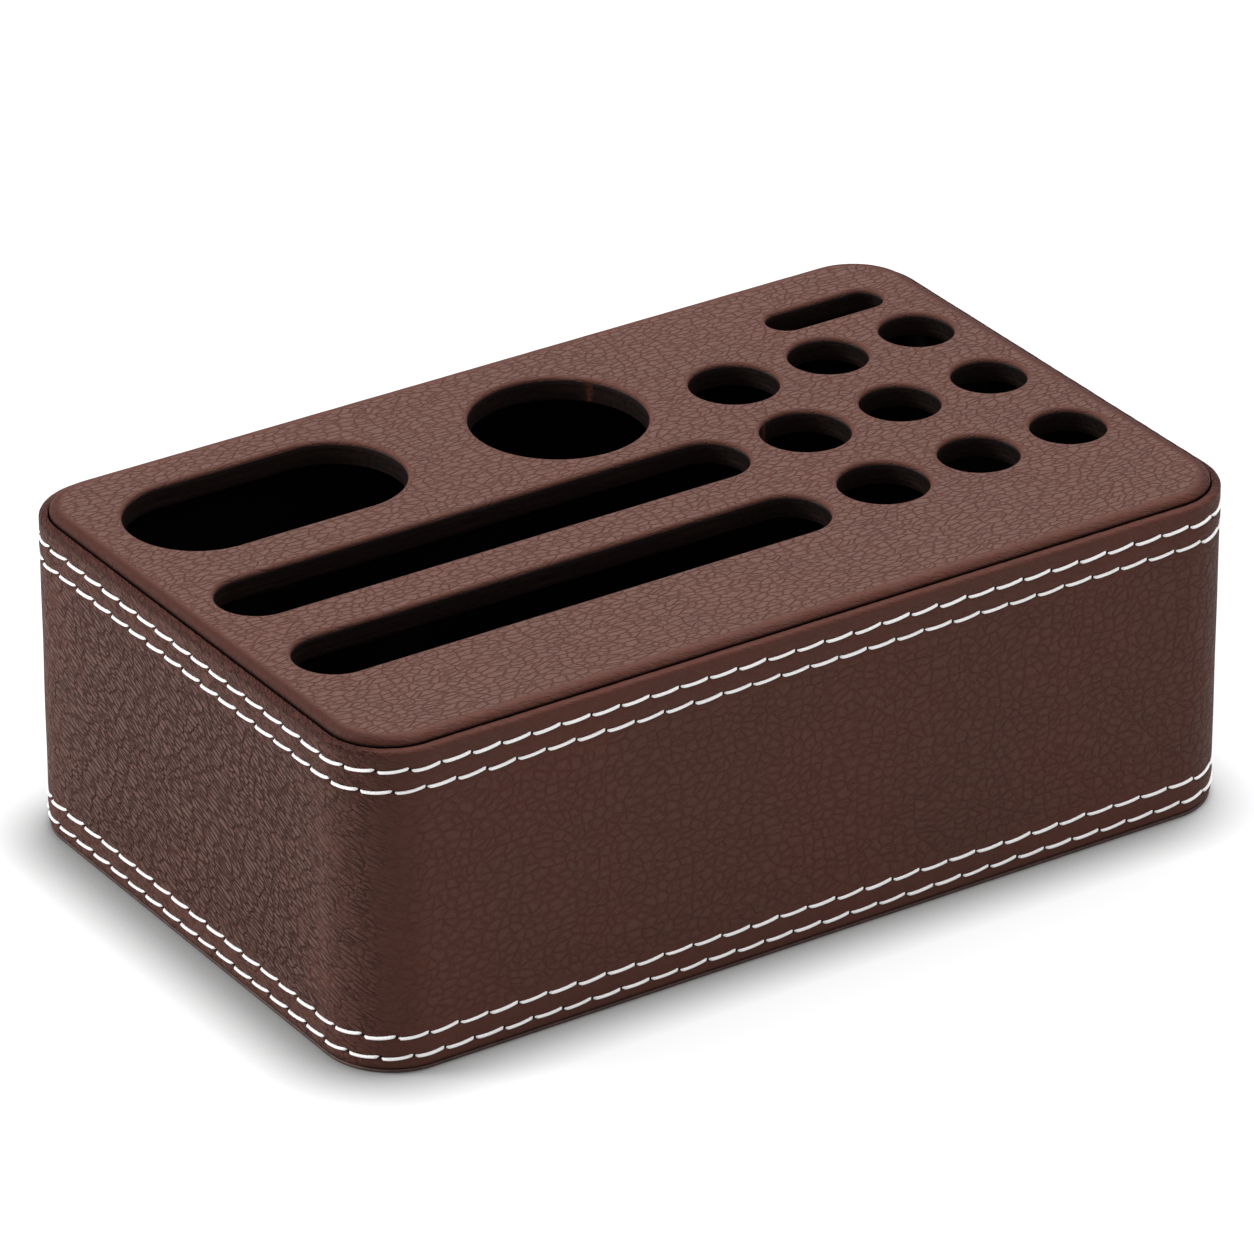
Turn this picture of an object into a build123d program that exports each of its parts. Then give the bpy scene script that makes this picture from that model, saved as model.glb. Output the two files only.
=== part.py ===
from build123d import *

import os

# Desk organizer: a leather-covered box with a lift-out lid plate that has fourteen openings.
# Millimetres. The origin is the bottom centre, +X along the length, -Y the front, +Z up.

# --- Box, over the leather ---
box_length = 235.0
box_width = 149.0
box_height = 81.0  # from the desk to the top of the lid
corner_radius = 17.0  # upright corners
foot_radius = 1.3  # rounding of the leather at the bottom edge

# --- Boards and sheets ---
leather = 1.0  # wrap and lid cover
wall_board = 5.0  # fibreboard walls and corner posts
floor_board = 5.0
base_cover = 0.8  # sheet under the base
base_cover_inset = 0.3  # how far that sheet stays back from the leather's face
lining = 0.8  # velvet on the inside walls, the floor and the lid's underside

# --- Lid ---
lid_board = 4.2
lid_proud = 1.8  # the lid's top above the rim
lid_gap = 0.35  # all round, between the rim and the lid
lid_edge_radius = 1.8  # rounding of the leather over the lid's edge
opening_roll = 0.8  # rounding of the leather into each opening
liner = 0.8  # leather strip that lines each opening

# --- Openings, inside their liners ---
oblong_length = 69.2
oblong_width = 34.8
oblong_from_left = 12.7  # from the box's left face to the opening's end
oblong_from_back = 32.1  # from the box's back face to the centre line
round_diameter = 41.6
round_share = 0.634  # of the free length either side of it, the share on its left
round_from_back = 35.7
long_slot_width = 19.4
long_slot_from_left = 11.1
long_slot_from_pens = 6.4  # from the opening's end to the nearest pen holes
long_slot_pitch = 32.3  # between the two centre lines
small_slot_length = 31.4
small_slot_width = 10.1
small_slot_from_right = 13.7
small_slot_from_back = 22.6
pen_diameters = {"left": 21.2, "centre": 19.0, "right": 17.8}
pen_columns = {"left": 51.1, "centre": 24.9, "right": 0.0}  # leftwards from the right column
pen_rows = {"back": 0.0, "middle": 29.0, "front": 60.0}  # forwards from the back row
pens_from_right = 17.6
pens_from_back = 43.2

# --- Stitching ---
stitch_pitch = 7.6
stitch_gap = 0.8  # leather between two stitches
thread_width = 1.1
thread_proud = 0.5  # how far the thread stands out of the leather
stitch_slant = 9.0  # degrees, the right end of each stitch is the higher
rim_margin = 4.7  # from the rim down to the highest row
foot_margin = 3.2  # from the leather's bottom edge up to the lowest row
row_spacing = 5.0  # between the two rows of a pair

# --- Worked out from these ---
rim_fold = 2 * leather  # the wrap is doubled over into the rim
rim_roll = 0.95 * leather  # nearly a full half-round over the rim
rim_height = box_height - lid_proud
ledge_height = box_height - leather - lid_board - lining
wall_bottom = base_cover + leather
wall_top = ledge_height - leather
floor_height = base_cover + floor_board
cavity_inset = leather + wall_board
room_inset = cavity_inset + lining
lid_inset = rim_fold + lid_gap
lid_core_inset = lid_inset + leather
liner_height = box_height - leather - ledge_height
straight_length = box_length - 2 * corner_radius
straight_width = box_width - 2 * corner_radius

left_face = -box_length / 2
right_face = box_length / 2
back_face = box_width / 2

pens_left_edge = right_face - pens_from_right - pen_columns["left"] - pen_diameters["left"] / 2
oblong_right_end = left_face + oblong_from_left + oblong_length
round_gap = round_share * (pens_left_edge - oblong_right_end - round_diameter)
long_slot_left_end = left_face + long_slot_from_left
long_slot_right_end = pens_left_edge - long_slot_from_pens
long_slot_length = long_slot_right_end - long_slot_left_end
long_slot_x = (long_slot_left_end + long_slot_right_end) / 2
long_slot_back_y = back_face - pens_from_back - pen_rows["middle"]
long_slot_front_y = long_slot_back_y - long_slot_pitch

openings = {
    "oblong": (
        oblong_right_end - oblong_length / 2,
        back_face - oblong_from_back,
        oblong_length,
        oblong_width,
    ),
    "round": (
        oblong_right_end + round_gap + round_diameter / 2,
        back_face - round_from_back,
        round_diameter,
        round_diameter,
    ),
    "slot_back": (long_slot_x, long_slot_back_y, long_slot_length, long_slot_width),
    "slot_front": (long_slot_x, long_slot_front_y, long_slot_length, long_slot_width),
    "slot_small": (
        right_face - small_slot_from_right - small_slot_length / 2,
        back_face - small_slot_from_back,
        small_slot_length,
        small_slot_width,
    ),
}
for row, from_back_row in pen_rows.items():
    for column, from_right_column in pen_columns.items():
        openings[f"pen_{row}_{column}"] = (
            right_face - pens_from_right - from_right_column,
            back_face - pens_from_back - from_back_row,
            pen_diameters[column],
            pen_diameters[column],
        )

stitch_rows = {
    "thread_rim_upper": rim_height - rim_margin,
    "thread_rim_lower": rim_height - rim_margin - row_spacing,
    "thread_foot_upper": base_cover + foot_margin + row_spacing,
    "thread_foot_lower": base_cover + foot_margin,
}


def outline(inset, mode=Mode.ADD):
    """Sketches the box's rounded outline, that far inside the face of the leather."""
    RectangleRounded(
        box_length - 2 * inset, box_width - 2 * inset, corner_radius - inset, mode=mode
    )


def opening(name, grow=0.0, mode=Mode.ADD):
    """Sketches one opening of the lid, that much larger all round than inside its liner."""
    x, y, length, width = openings[name]
    with Locations((x, y)):
        if length > width:
            SlotOverall(length + 2 * grow, width + 2 * grow, mode=mode)
        else:
            Circle(width / 2 + grow, mode=mode)


def edges_at(builder, height):
    """Picks the edges that lie flat at one height."""
    return builder.edges().filter_by_position(Axis.Z, height, height)


def write(part, name):
    """Labels a finished piece and writes it to a file of its own."""
    part.label = name
    export_step(part, f"parts/{name}.step")


os.makedirs("parts", exist_ok=True)

# --- Walls: four straight boards between four curved corner posts ---
with BuildPart() as walls:
    with BuildSketch(Plane.XY.offset(wall_bottom)):
        outline(leather)
    extrude(amount=wall_top - wall_bottom)
    fillet(edges_at(walls, wall_bottom), radius=foot_radius - leather)
    with BuildSketch(Plane.XY.offset(wall_bottom)):
        outline(cavity_inset)
    extrude(amount=wall_top - wall_bottom, mode=Mode.SUBTRACT)

corner_span = 2 * corner_radius
wall_spans = {}
for end, y in (("front", -box_width / 2), ("back", box_width / 2)):
    wall_spans[f"{end}_board"] = (0, y, straight_length, corner_span)
    for side, x in (("left", -box_length / 2), ("right", box_length / 2)):
        wall_spans[f"{side}_board"] = (x, 0, corner_span, straight_width)
        wall_spans[f"corner_post_{end}_{side}"] = (x, y, corner_span, corner_span)

for name, (x, y, span_x, span_y) in wall_spans.items():
    with BuildPart() as wall:
        add(walls.part)
        with BuildSketch():
            with Locations((x, y)):
                Rectangle(span_x, span_y)
        extrude(amount=box_height, mode=Mode.INTERSECT)
    write(wall.part, name)

# --- Base board: between the walls, level with the leather turned in under them ---
with BuildPart() as base_board:
    with BuildSketch(Plane.XY.offset(base_cover)):
        outline(cavity_inset)
    extrude(amount=floor_board)
write(base_board.part, "base_board")

# --- Base sheet: under the base board and the turned-in leather ---
with BuildPart() as base_sheet:
    with BuildSketch():
        outline(base_cover_inset)
    extrude(amount=base_cover)
write(base_sheet.part, "base_sheet")

# --- Side wrap: doubled over into the rim, turned in over the walls' tops and under them ---
with BuildPart() as side_wrap:
    with BuildSketch(Plane.XY.offset(base_cover)):
        outline(0)
    extrude(amount=rim_height - base_cover)
    fillet(edges_at(side_wrap, base_cover), radius=foot_radius)
    with BuildSketch(Plane.XY.offset(ledge_height)):
        outline(rim_fold)
    extrude(amount=rim_height - ledge_height, mode=Mode.SUBTRACT)
    fillet(edges_at(side_wrap, rim_height), radius=rim_roll)
    with BuildSketch(Plane.XY.offset(base_cover)):
        outline(cavity_inset)
    extrude(amount=ledge_height - base_cover, mode=Mode.SUBTRACT)
    add(walls.part, mode=Mode.SUBTRACT)
write(side_wrap.part, "side_wrap")

# --- Stitches: each is a slanted slot cut from a band as thick as the thread stands proud ---
with BuildSketch() as stitched_outline:
    outline(0)
thread_path = stitched_outline.sketch.wire()
stitch_count = round(thread_path.length / stitch_pitch)
stitch_length = thread_path.length / stitch_count - stitch_gap


def stitch_plane(share):
    """Gives the plane of a stitch that share of the way round the box, facing outwards."""
    point = thread_path @ share
    along = thread_path % share
    outwards = along.cross(Vector(0, 0, 1))
    if outwards.dot(point) < 0:
        along = -along
        outwards = -outwards
    return Plane(origin=point - outwards * thread_width, x_dir=along, z_dir=outwards)


with BuildPart() as stitch_row:
    for index in range(stitch_count):
        with BuildSketch(stitch_plane(index / stitch_count)):
            SlotOverall(stitch_length, thread_width, rotation=stitch_slant)
    extrude(amount=3 * thread_width)
    with BuildSketch(Plane.XY.offset(-stitch_pitch / 2)):
        outline(-thread_proud)
        outline(0, mode=Mode.SUBTRACT)
    extrude(amount=stitch_pitch, mode=Mode.INTERSECT)

for name, height in stitch_rows.items():
    with BuildPart() as stitches:
        with Locations((0, 0, height)):
            add(stitch_row.part)
    write(stitches.part, name)

# --- Linings: round the inside walls up to the ledge, and on the floor ---
with BuildPart() as wall_lining:
    with BuildSketch(Plane.XY.offset(floor_height)):
        outline(cavity_inset)
        outline(room_inset, mode=Mode.SUBTRACT)
    extrude(amount=ledge_height - floor_height)
write(wall_lining.part, "wall_lining")

with BuildPart() as floor_mat:
    with BuildSketch(Plane.XY.offset(floor_height)):
        outline(room_inset)
    extrude(amount=lining)
write(floor_mat.part, "floor_mat")

# --- Lid: a board with a velvet backing, and a leather cover over its top and edges ---
with BuildPart() as lid_core:
    with BuildSketch(Plane.XY.offset(ledge_height)):
        outline(lid_core_inset)
    extrude(amount=liner_height)
    fillet(edges_at(lid_core, box_height - leather), radius=lid_edge_radius - leather)

with BuildPart() as lid_plate:
    add(lid_core.part)
    with BuildSketch(Plane.XY.offset(ledge_height)):
        outline(lid_core_inset)
    extrude(amount=lining, mode=Mode.SUBTRACT)
    with BuildSketch(Plane.XY.offset(ledge_height)):
        for name in openings:
            opening(name, grow=liner)
    extrude(amount=liner_height, mode=Mode.SUBTRACT)
write(lid_plate.part, "lid_board")

with BuildPart() as lid_backing:
    with BuildSketch(Plane.XY.offset(ledge_height)):
        outline(lid_core_inset)
        for name in openings:
            opening(name, grow=liner, mode=Mode.SUBTRACT)
    extrude(amount=lining)
write(lid_backing.part, "lid_backing")

with BuildPart() as lid_cover:
    with BuildSketch(Plane.XY.offset(ledge_height)):
        outline(lid_inset)
    extrude(amount=box_height - ledge_height)
    fillet(edges_at(lid_cover, box_height), radius=lid_edge_radius)
    lid_rim = edges_at(lid_cover, box_height)
    add(lid_core.part, mode=Mode.SUBTRACT)
    with BuildSketch(Plane.XY.offset(box_height - leather)):
        for name in openings:
            opening(name)
    extrude(amount=leather, mode=Mode.SUBTRACT)
    opening_edges = edges_at(lid_cover, box_height) - lid_rim
    fillet(opening_edges, radius=opening_roll)
write(lid_cover.part, "lid_cover")

for name in openings:
    with BuildPart() as opening_liner:
        with BuildSketch(Plane.XY.offset(ledge_height)):
            opening(name, grow=liner)
            opening(name, mode=Mode.SUBTRACT)
        extrude(amount=liner_height)
    write(opening_liner.part, f"liner_{name}")
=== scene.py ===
"""Desk organizer: a box covered in pebbled leather with a lift-out lid plate full of openings.

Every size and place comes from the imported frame. Sizes are in millimetres unless a name says
otherwise, and meshes are made in metres, in the frame's own axes: the front faces -Y.
"""

import logging
import math
from dataclasses import dataclass
from enum import Enum

import bpy
import numpy as np
from mathutils import Matrix, Vector
from mathutils.geometry import delaunay_2d_cdt


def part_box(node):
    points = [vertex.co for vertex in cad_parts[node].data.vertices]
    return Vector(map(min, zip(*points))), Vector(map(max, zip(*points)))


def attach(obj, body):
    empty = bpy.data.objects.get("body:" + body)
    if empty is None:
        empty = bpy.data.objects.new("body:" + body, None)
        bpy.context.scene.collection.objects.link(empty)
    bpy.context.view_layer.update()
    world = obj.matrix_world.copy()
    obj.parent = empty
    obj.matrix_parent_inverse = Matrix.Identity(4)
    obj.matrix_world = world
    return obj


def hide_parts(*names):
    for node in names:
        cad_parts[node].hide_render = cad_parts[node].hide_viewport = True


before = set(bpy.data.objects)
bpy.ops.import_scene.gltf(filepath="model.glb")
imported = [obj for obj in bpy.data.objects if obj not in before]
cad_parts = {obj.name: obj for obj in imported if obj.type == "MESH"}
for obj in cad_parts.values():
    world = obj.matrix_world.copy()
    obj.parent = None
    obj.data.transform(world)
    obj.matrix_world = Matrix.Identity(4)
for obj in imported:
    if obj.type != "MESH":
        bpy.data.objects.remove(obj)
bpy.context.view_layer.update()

MM = 0.001
UV_NAME = "along"  # distances along and across a strip, or over a flat face, in metres
SHARP_ANGLE = 38.0  # degrees between two faces, past which their edge stays crisp
ALL_LOOSE = 50.0  # distance to the nearest opening where a plate has none near
LOG = logging.getLogger("desk_organizer")

MATH = "ShaderNodeMath"
VECTOR_MATH = "ShaderNodeVectorMath"
NOISE = "ShaderNodeTexNoise"
VORONOI = "ShaderNodeTexVoronoi"
MAP_RANGE = "ShaderNodeMapRange"
MIX = "ShaderNodeMixRGB"
BUMP = "ShaderNodeBump"
COMBINE = "ShaderNodeCombineXYZ"
SEPARATE = "ShaderNodeSeparateXYZ"
Sockets = bpy.types.bpy_prop_collection  # a node's sockets, by name


def linear(code: str) -> tuple[float, float, float, float]:
    """Turns a colour into the linear values that a shader takes.

    Args:
        code: The colour as sRGB hex, such as "#8a5a44".

    Returns:
        Linear red, green and blue, and an alpha of 1.
    """
    parts = [int(code[i : i + 2], 16) / 255 for i in (1, 3, 5)]
    values = [c / 12.92 if c <= 0.04045 else ((c + 0.055) / 1.055) ** 2.4 for c in parts]
    return (values[0], values[1], values[2], 1.0)


def ease(value: np.ndarray, start: float, end: float) -> np.ndarray:
    """Goes smoothly from 0 where a value is at start to 1 where it is at end.

    Args:
        value: The values, in any shape.
        start: The value that gives 0.
        end: The value that gives 1; it may be below start.

    Returns:
        The eased share for each value.
    """
    share = np.clip((value - start) / (end - start), 0.0, 1.0)
    return share * share * (3 - 2 * share)


def ripple(along: np.ndarray, across: np.ndarray, wavelength: float) -> np.ndarray:
    """Gives a gentle unevenness between about -1 and 1 that doesn't visibly repeat.

    Args:
        along: First coordinate.
        across: Second coordinate.
        wavelength: Typical distance between two swells.

    Returns:
        The unevenness at each point.
    """
    a, b = along * 2 * math.pi / wavelength, across * 2 * math.pi / wavelength
    first = np.sin(a + 1.3) * np.sin(0.8 * b + 0.4)
    second = np.sin(0.61 * a - 0.73 * b + 2.1) * np.sin(0.37 * a + 0.53 * b)
    third = np.sin(1.71 * a + 1.13 * b + 0.7)
    return 0.45 * first + 0.4 * second + 0.15 * third


def waver(along: np.ndarray, wavelength: float) -> np.ndarray:
    """Gives the same unevenness along a line."""
    return ripple(along, along * 0, wavelength)


class Body(Enum):
    """The two bodies of the frame."""

    BOX = "box"
    LID = "lid"


class Graph:
    """A node tree that is being built."""

    def __init__(self, tree: bpy.types.NodeTree) -> None:
        """Keeps the tree and clears it."""
        self.tree = tree
        tree.nodes.clear()

    def add(self, kind: str, feeds: dict | None = None, **settings: object) -> bpy.types.Node:
        """Adds a node, sets it up and links what feeds it.

        Args:
            kind: The node's type.
            feeds: For each input, by name or number, a value, or the socket or node that feeds it.
            **settings: Properties of the node.

        Returns:
            The new node.
        """
        node = self.tree.nodes.new(kind)
        for name, value in settings.items():
            setattr(node, name, value)
        for key, value in (feeds or {}).items():
            if isinstance(value, bpy.types.Node):
                value = next(socket for socket in value.outputs if socket.enabled)
            if isinstance(value, bpy.types.NodeSocket):
                self.tree.links.new(value, node.inputs[key])
            else:
                node.inputs[key].default_value = value
        return node


# --- Finishes ---


@dataclass(frozen=True)
class Finish:
    """A finish that builds its own material.

    Attributes:
        title: The material's name.
        slot: The record's material slot that it belongs to.
    """

    title: str
    slot: str

    def begin(self) -> tuple[bpy.types.Material, Graph]:
        """Makes an empty material.

        Returns:
            The material and its graph.
        """
        material = bpy.data.materials.new(self.title)
        material.use_nodes = True
        return material, Graph(material.node_tree)

    def blend(
        self, g: Graph, value: object, start: float, end: float, first: str, second: str
    ) -> bpy.types.Node:
        """Goes from one colour to another.

        Args:
            g: The graph.
            value: What decides between them, as a node or a socket.
            start: The value that gives the first colour.
            end: The value that gives the second.
            first: The first colour, as sRGB hex.
            second: The second colour.

        Returns:
            The node whose colour it is.
        """
        share = g.add(MAP_RANGE, {0: value, 1: start, 2: end, 3: 0.0, 4: 1.0})
        return g.add(MIX, {0: share, 1: linear(first), 2: linear(second)})

    def finish(self, g: Graph, **sockets: object) -> None:
        """Ends the graph in a Principled shader.

        Args:
            g: The graph to end.
            **sockets: Values or sockets for the shader, named with underscores for spaces.
        """
        feeds = {name.replace("_", " "): value for name, value in sockets.items()}
        shader = g.add("ShaderNodeBsdfPrincipled", feeds)
        g.add("ShaderNodeOutputMaterial", {"Surface": shader})


@dataclass(frozen=True)
class StitchLayout:
    """Where the stitches fall along the rows, for the thread and for the needle holes.

    Attributes:
        pitch: Distance between two stitches.
        first: Distance along the outline to the middle of the first stitch.
        perimeter: Length of the outline.
        rows: Heights of the rows, lowest first.
        shifts: Shift of each row, as a share of the pitch: the outer rows are staggered.
    """

    pitch: float
    first: float
    perimeter: float
    rows: tuple[float, ...]
    shifts: tuple[float, ...] = (0.5, 0.0, 0.0, 0.5)

    @property
    def folds(self) -> list[float]:
        """Middle of all rows, from there to a pair's middle, and from there to a row."""
        low, high = sum(self.rows[:2]) / 2, sum(self.rows[2:]) / 2
        return [(low + high) / 2, (high - low) / 2, (self.rows[1] - self.rows[0]) / 2]


@dataclass(frozen=True)
class Grain:
    """How the pebble grain lies on one part of the leather.

    Attributes:
        stretch: Pebbles per pebble width, along and across; the smaller is the way they run.
        swirl: Share of flowing ridges among the pebbles.
        crease_tint: How much of the creases' darker colour shows, which is partly dye and partly
            painted shade.
        sheen_share: How much of the painted sheen shows on the pebbles' tops.
        shoulder: How far a pebble's round edge reaches in, as a share of its width.
        turn: Degrees that the rows of pebbles fall, from left to right.
        depth: Depth of the grain, as a share of the leather's relief.
    """

    stretch: tuple[float, float, float]
    swirl: float
    crease_tint: float
    sheen_share: float
    shoulder: float = 0.2
    turn: float = 0.0
    depth: float = 1.0


@dataclass(frozen=True)
class PebbledLeather(Finish):
    """Corrected-grain cow hide, dyed through and plated with a pebble grain.

    Plating leaves flat pebbles, two or three millimetres across, with fine dark creases between
    them. Where the hide is pulled over an edge or sewn down the pebbles are stretched away, and
    where it is rubbed the finish warms to a red brown.
    """

    hide: str
    # darker colour of the creases, partly dye and partly painted shade; also the seam's dark joint
    crease: str
    painted_sheen: str  # painted sheen: greyer colour on the pebbles' tops
    flush: str  # warmer patches of the dye
    rubbed: str
    end_edge_shade_colour: str  # painted shade on the rolled edges of the two ends
    painted_shade: str  # painted shade in the needle holes and in the groove that the light doesn't reach
    roughness: float
    gloss: float
    pebble: float  # width of a pebble
    crease_width: float
    relief: float  # from crease to pebble top
    plain_sheen: float  # painted sheen that is left where the hide is stretched
    grain: Grain
    end_grain: Grain | None = None  # on the two end faces, where the hide is pulled
    stitches: StitchLayout | None = None

    def build(self) -> bpy.types.Material:
        """Builds the material.

        Returns:
            The material, which reads the piece's UV map and its attributes: smooth, worn,
            tuck, bend, deep and end_edge_shade, which carry painted shade, and end_face where the end
            grain is.
        """
        material, g = self.begin()
        uv = g.add("ShaderNodeUVMap", uv_map=UV_NAME)
        place = g.add(VECTOR_MATH, {0: uv, "Scale": 1 / MM}, operation="SCALE")
        mask = {}
        for name in ("smooth", "worn", "tuck", "bend", "deep", "end_edge_shade", "end_face"):
            mask[name] = g.add("ShaderNodeAttribute", attribute_name=name).outputs["Fac"]
        patch = g.add(NOISE, {"Vector": place, "Scale": 0.23, "Detail": 1.0}, noise_dimensions="2D")
        grain = self._grain(g, place, self.grain)
        if self.end_grain:
            pulled = self._grain(g, place, self.end_grain)
            grain = g.add(MIX, {0: mask["end_face"], 1: grain, 2: pulled})
        relief, creases, tops = g.add(SEPARATE, {0: grain}).outputs

        # The grain fades where the hide is stretched, along an uneven border
        border = g.add(MATH, {0: patch, 1: 0.5}, operation="SUBTRACT")
        stretched = g.add(MATH, {0: border, 1: 0.7, 2: mask["smooth"]}, operation="MULTIPLY_ADD")
        kept = g.add(MAP_RANGE, {0: stretched, 1: 0.2, 2: 0.85, 3: 1.0, 4: 0.1})
        height = g.add(MATH, {0: relief, 1: kept}, operation="MULTIPLY")
        pores = g.add(NOISE, {"Vector": place, "Scale": 2.2, "Detail": 2.0}, noise_dimensions="2D")
        height = g.add(MATH, {0: pores, 1: 0.08, 2: height}, operation="MULTIPLY_ADD")

        # Round the upright corners the hide creases across; over the edges it tucks
        height = self._wrinkles(g, place, height, mask["bend"], 0.0, (0.2, 0.62, 1.0), 0.5)
        height = self._wrinkles(g, place, height, mask["tuck"], 28.0, (0.17, 0.62, 1.0), 0.45)

        colour = self._dye_and_painted_light(g, place, mask, patch, kept, creases, tops)
        if self.stitches:
            # Painted shade: the needle holes are coloured near-black
            hole = self._needle_holes(g, place)
            colour = g.add(MIX, {0: hole, 1: colour, 2: linear(self.painted_shade)})
            seam = self._seam(g, place)
            colour = g.add(MIX, {0: seam, 1: colour, 2: linear(self.crease)})
            height = g.add(MATH, {0: seam, 1: -1.2, 2: height}, operation="MULTIPLY_ADD")
        # Painted shade: darker on the ends' rolled edges, and near-black in the groove by the lid's
        # edge
        colour = g.add(MIX, {0: mask["end_edge_shade"], 1: colour, 2: linear(self.end_edge_shade_colour)})
        colour = g.add(MIX, {0: mask["deep"], 1: colour, 2: linear(self.painted_shade)})
        rough = g.add(MATH, {0: creases, 1: 0.15, 2: self.roughness}, operation="MULTIPLY_ADD")
        bump = g.add(BUMP, {"Distance": self.relief * MM, "Height": height})
        self.finish(
            g,
            Base_Color=colour,
            Roughness=rough,
            Normal=bump,
            IOR=1.48,
            Specular_IOR_Level=self.gloss,
        )
        return material

    def _dye_and_painted_light(
        self,
        g: Graph,
        place: object,
        mask: dict[str, bpy.types.NodeSocket],
        patch: object,
        kept: object,
        creases: object,
        tops: object,
    ) -> bpy.types.Node:
        """Colours the hide: dye patches, painted sheen on the pebbles, creases darkened by dye and
        painted shade, painted shade on the corners, and rubbed edges.

        Args:
            g: The graph.
            place: Coordinates in millimetres.
            mask: The piece's attributes, by name.
            patch: Noise in patches of a few millimetres.
            kept: How much of the grain is left, 0 to 1.
            creases: The creases, 0 to 1.
            tops: The pebbles' tops, 0 to 1.

        Returns:
            The colour.
        """
        front, end = self.grain, self.end_grain or self.grain
        warmth = g.add(NOISE, {"Vector": place, "Scale": 0.028, "Detail": 3.0}, noise_dimensions="2D")
        warmth = g.add(MAP_RANGE, {0: warmth, 1: 0.4, 2: 0.65, 3: 0.0, 4: 0.45})
        colour = g.add(MIX, {0: warmth, 1: linear(self.hide), 2: linear(self.flush)})
        shade = g.add(MAP_RANGE, {0: patch, 1: 0.3, 2: 0.7, 3: 0.97, 4: 1.03})
        colour = g.add(VECTOR_MATH, {0: colour, "Scale": shade.outputs[0]}, operation="SCALE")

        # Painted sheen sits on the tops; the creases round them are darker, partly dye and partly
        # painted shade
        sheen_share = g.add(MAP_RANGE, {0: mask["end_face"], 3: front.sheen_share, 4: end.sheen_share})
        top = g.add(MIX, {0: kept, 1: (self.plain_sheen,) * 3 + (1.0,), 2: tops})
        top = g.add(MATH, {0: top, 1: sheen_share}, operation="MULTIPLY")
        colour = g.add(MIX, {0: top, 1: colour.outputs[0], 2: linear(self.painted_sheen)})
        tinted = g.add(MAP_RANGE, {0: mask["end_face"], 3: front.crease_tint, 4: end.crease_tint})
        tint = g.add(MATH, {0: creases, 1: kept}, operation="MULTIPLY")
        tint = g.add(MATH, {0: tint, 1: tinted}, operation="MULTIPLY")
        # Painted shade on the rounded corners: they are darkened towards the creases' colour
        corner_shade = g.add(MATH, {0: mask["bend"], 1: 0.6}, operation="MULTIPLY")
        tint = g.add(MATH, {0: tint, 1: corner_shade}, operation="MAXIMUM")
        colour = g.add(MIX, {0: tint, 1: colour, 2: linear(self.crease)})

        # Hands rub the edges, more in some places than in others
        rub = g.add(MAP_RANGE, {0: patch, 1: 0.3, 2: 0.65, 3: 0.3, 4: 0.9})
        rub = g.add(MATH, {0: rub, 1: mask["worn"]}, operation="MULTIPLY")
        return g.add(MIX, {0: rub, 1: colour, 2: linear(self.rubbed)})

    def _grain(self, g: Graph, place: bpy.types.Node, grain: Grain) -> bpy.types.Node:
        """Adds the pebble grain.

        Args:
            g: The graph.
            place: Coordinates in millimetres.
            grain: How the grain lies.

        Returns:
            A vector: the grain's height, its creases and its pebbles' tops, each about 0 to 1.
        """
        level = {"Vector": place, "Angle": math.radians(grain.turn)}
        bent = g.add("ShaderNodeVectorRotate", level, rotation_type="Z_AXIS")
        bent = g.add(VECTOR_MATH, {0: bent, 1: grain.stretch}, operation="MULTIPLY")
        for scale, reach in ((0.045, 5.0), (0.15, 1.6), (0.6, 0.3)):
            noise = g.add(NOISE, {"Vector": place, "Scale": scale}, noise_dimensions="2D")
            half = (0.5, 0.5, 0.5)
            swing = g.add(VECTOR_MATH, {0: noise.outputs["Color"], 1: half}, operation="SUBTRACT")
            feeds = {0: swing, 1: (reach, reach, 0.0), 2: bent.outputs[0]}
            bent = g.add(VECTOR_MATH, feeds, operation="MULTIPLY_ADD")
        varied = g.add(NOISE, {"Vector": place, "Scale": 0.4, "Detail": 1.0}, noise_dimensions="2D")
        sizes = ((1.0, 1.0), (0.5, 0.6), (3.1, 1.2))  # widths of cell and crease: usual, small, folds
        cells = []
        for cell, crease in sizes:
            width, gap = cell * self.pebble, crease * self.crease_width
            cells.append(self._cells(g, bent, width, gap, varied, grain.shoulder))
        (dome, crease), (small_dome, small_crease), (_, fold) = cells

        # Some creases are deep and some nearly gone; the small pebbles come in patches
        some = g.add(MAP_RANGE, {0: varied, 1: 0.5, 2: 0.64, 3: 0.0, 4: 0.6})
        small_crease = g.add(MATH, {0: small_crease, 1: some}, operation="MULTIPLY")
        fold = g.add(MATH, {0: fold, 1: 0.6}, operation="MULTIPLY")
        creases = g.add(MATH, {0: crease, 1: fold}, operation="MAXIMUM")
        creases = g.add(MATH, {0: creases, 1: small_crease}, operation="MAXIMUM")
        small = g.add(MIX, {0: some, 1: dome, 2: small_dome})

        # Ridges flow among the pebbles along the noise's own middle level
        flow = {"Vector": bent, "Scale": 1.5 / self.pebble, "Detail": 1.5}
        flow = g.add(NOISE, flow, noise_dimensions="2D")
        flow = g.add(MATH, {0: flow, 1: 0.5}, operation="SUBTRACT")
        flow = g.add(MATH, {0: flow}, operation="ABSOLUTE")
        ranges = {0: flow, 1: 0.0, 2: 0.17, 3: 0.0, 4: 1.0}
        flow = g.add(MAP_RANGE, ranges, interpolation_type="SMOOTHSTEP")
        tops = g.add(MIX, {0: grain.swirl, 1: small, 2: flow})
        height = g.add(MATH, {0: creases, 1: -0.45, 2: tops}, operation="MULTIPLY_ADD")
        height = g.add(MATH, {0: height, 1: grain.depth}, operation="MULTIPLY")
        return g.add(COMBINE, {"X": height, "Y": creases, "Z": tops})

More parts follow.
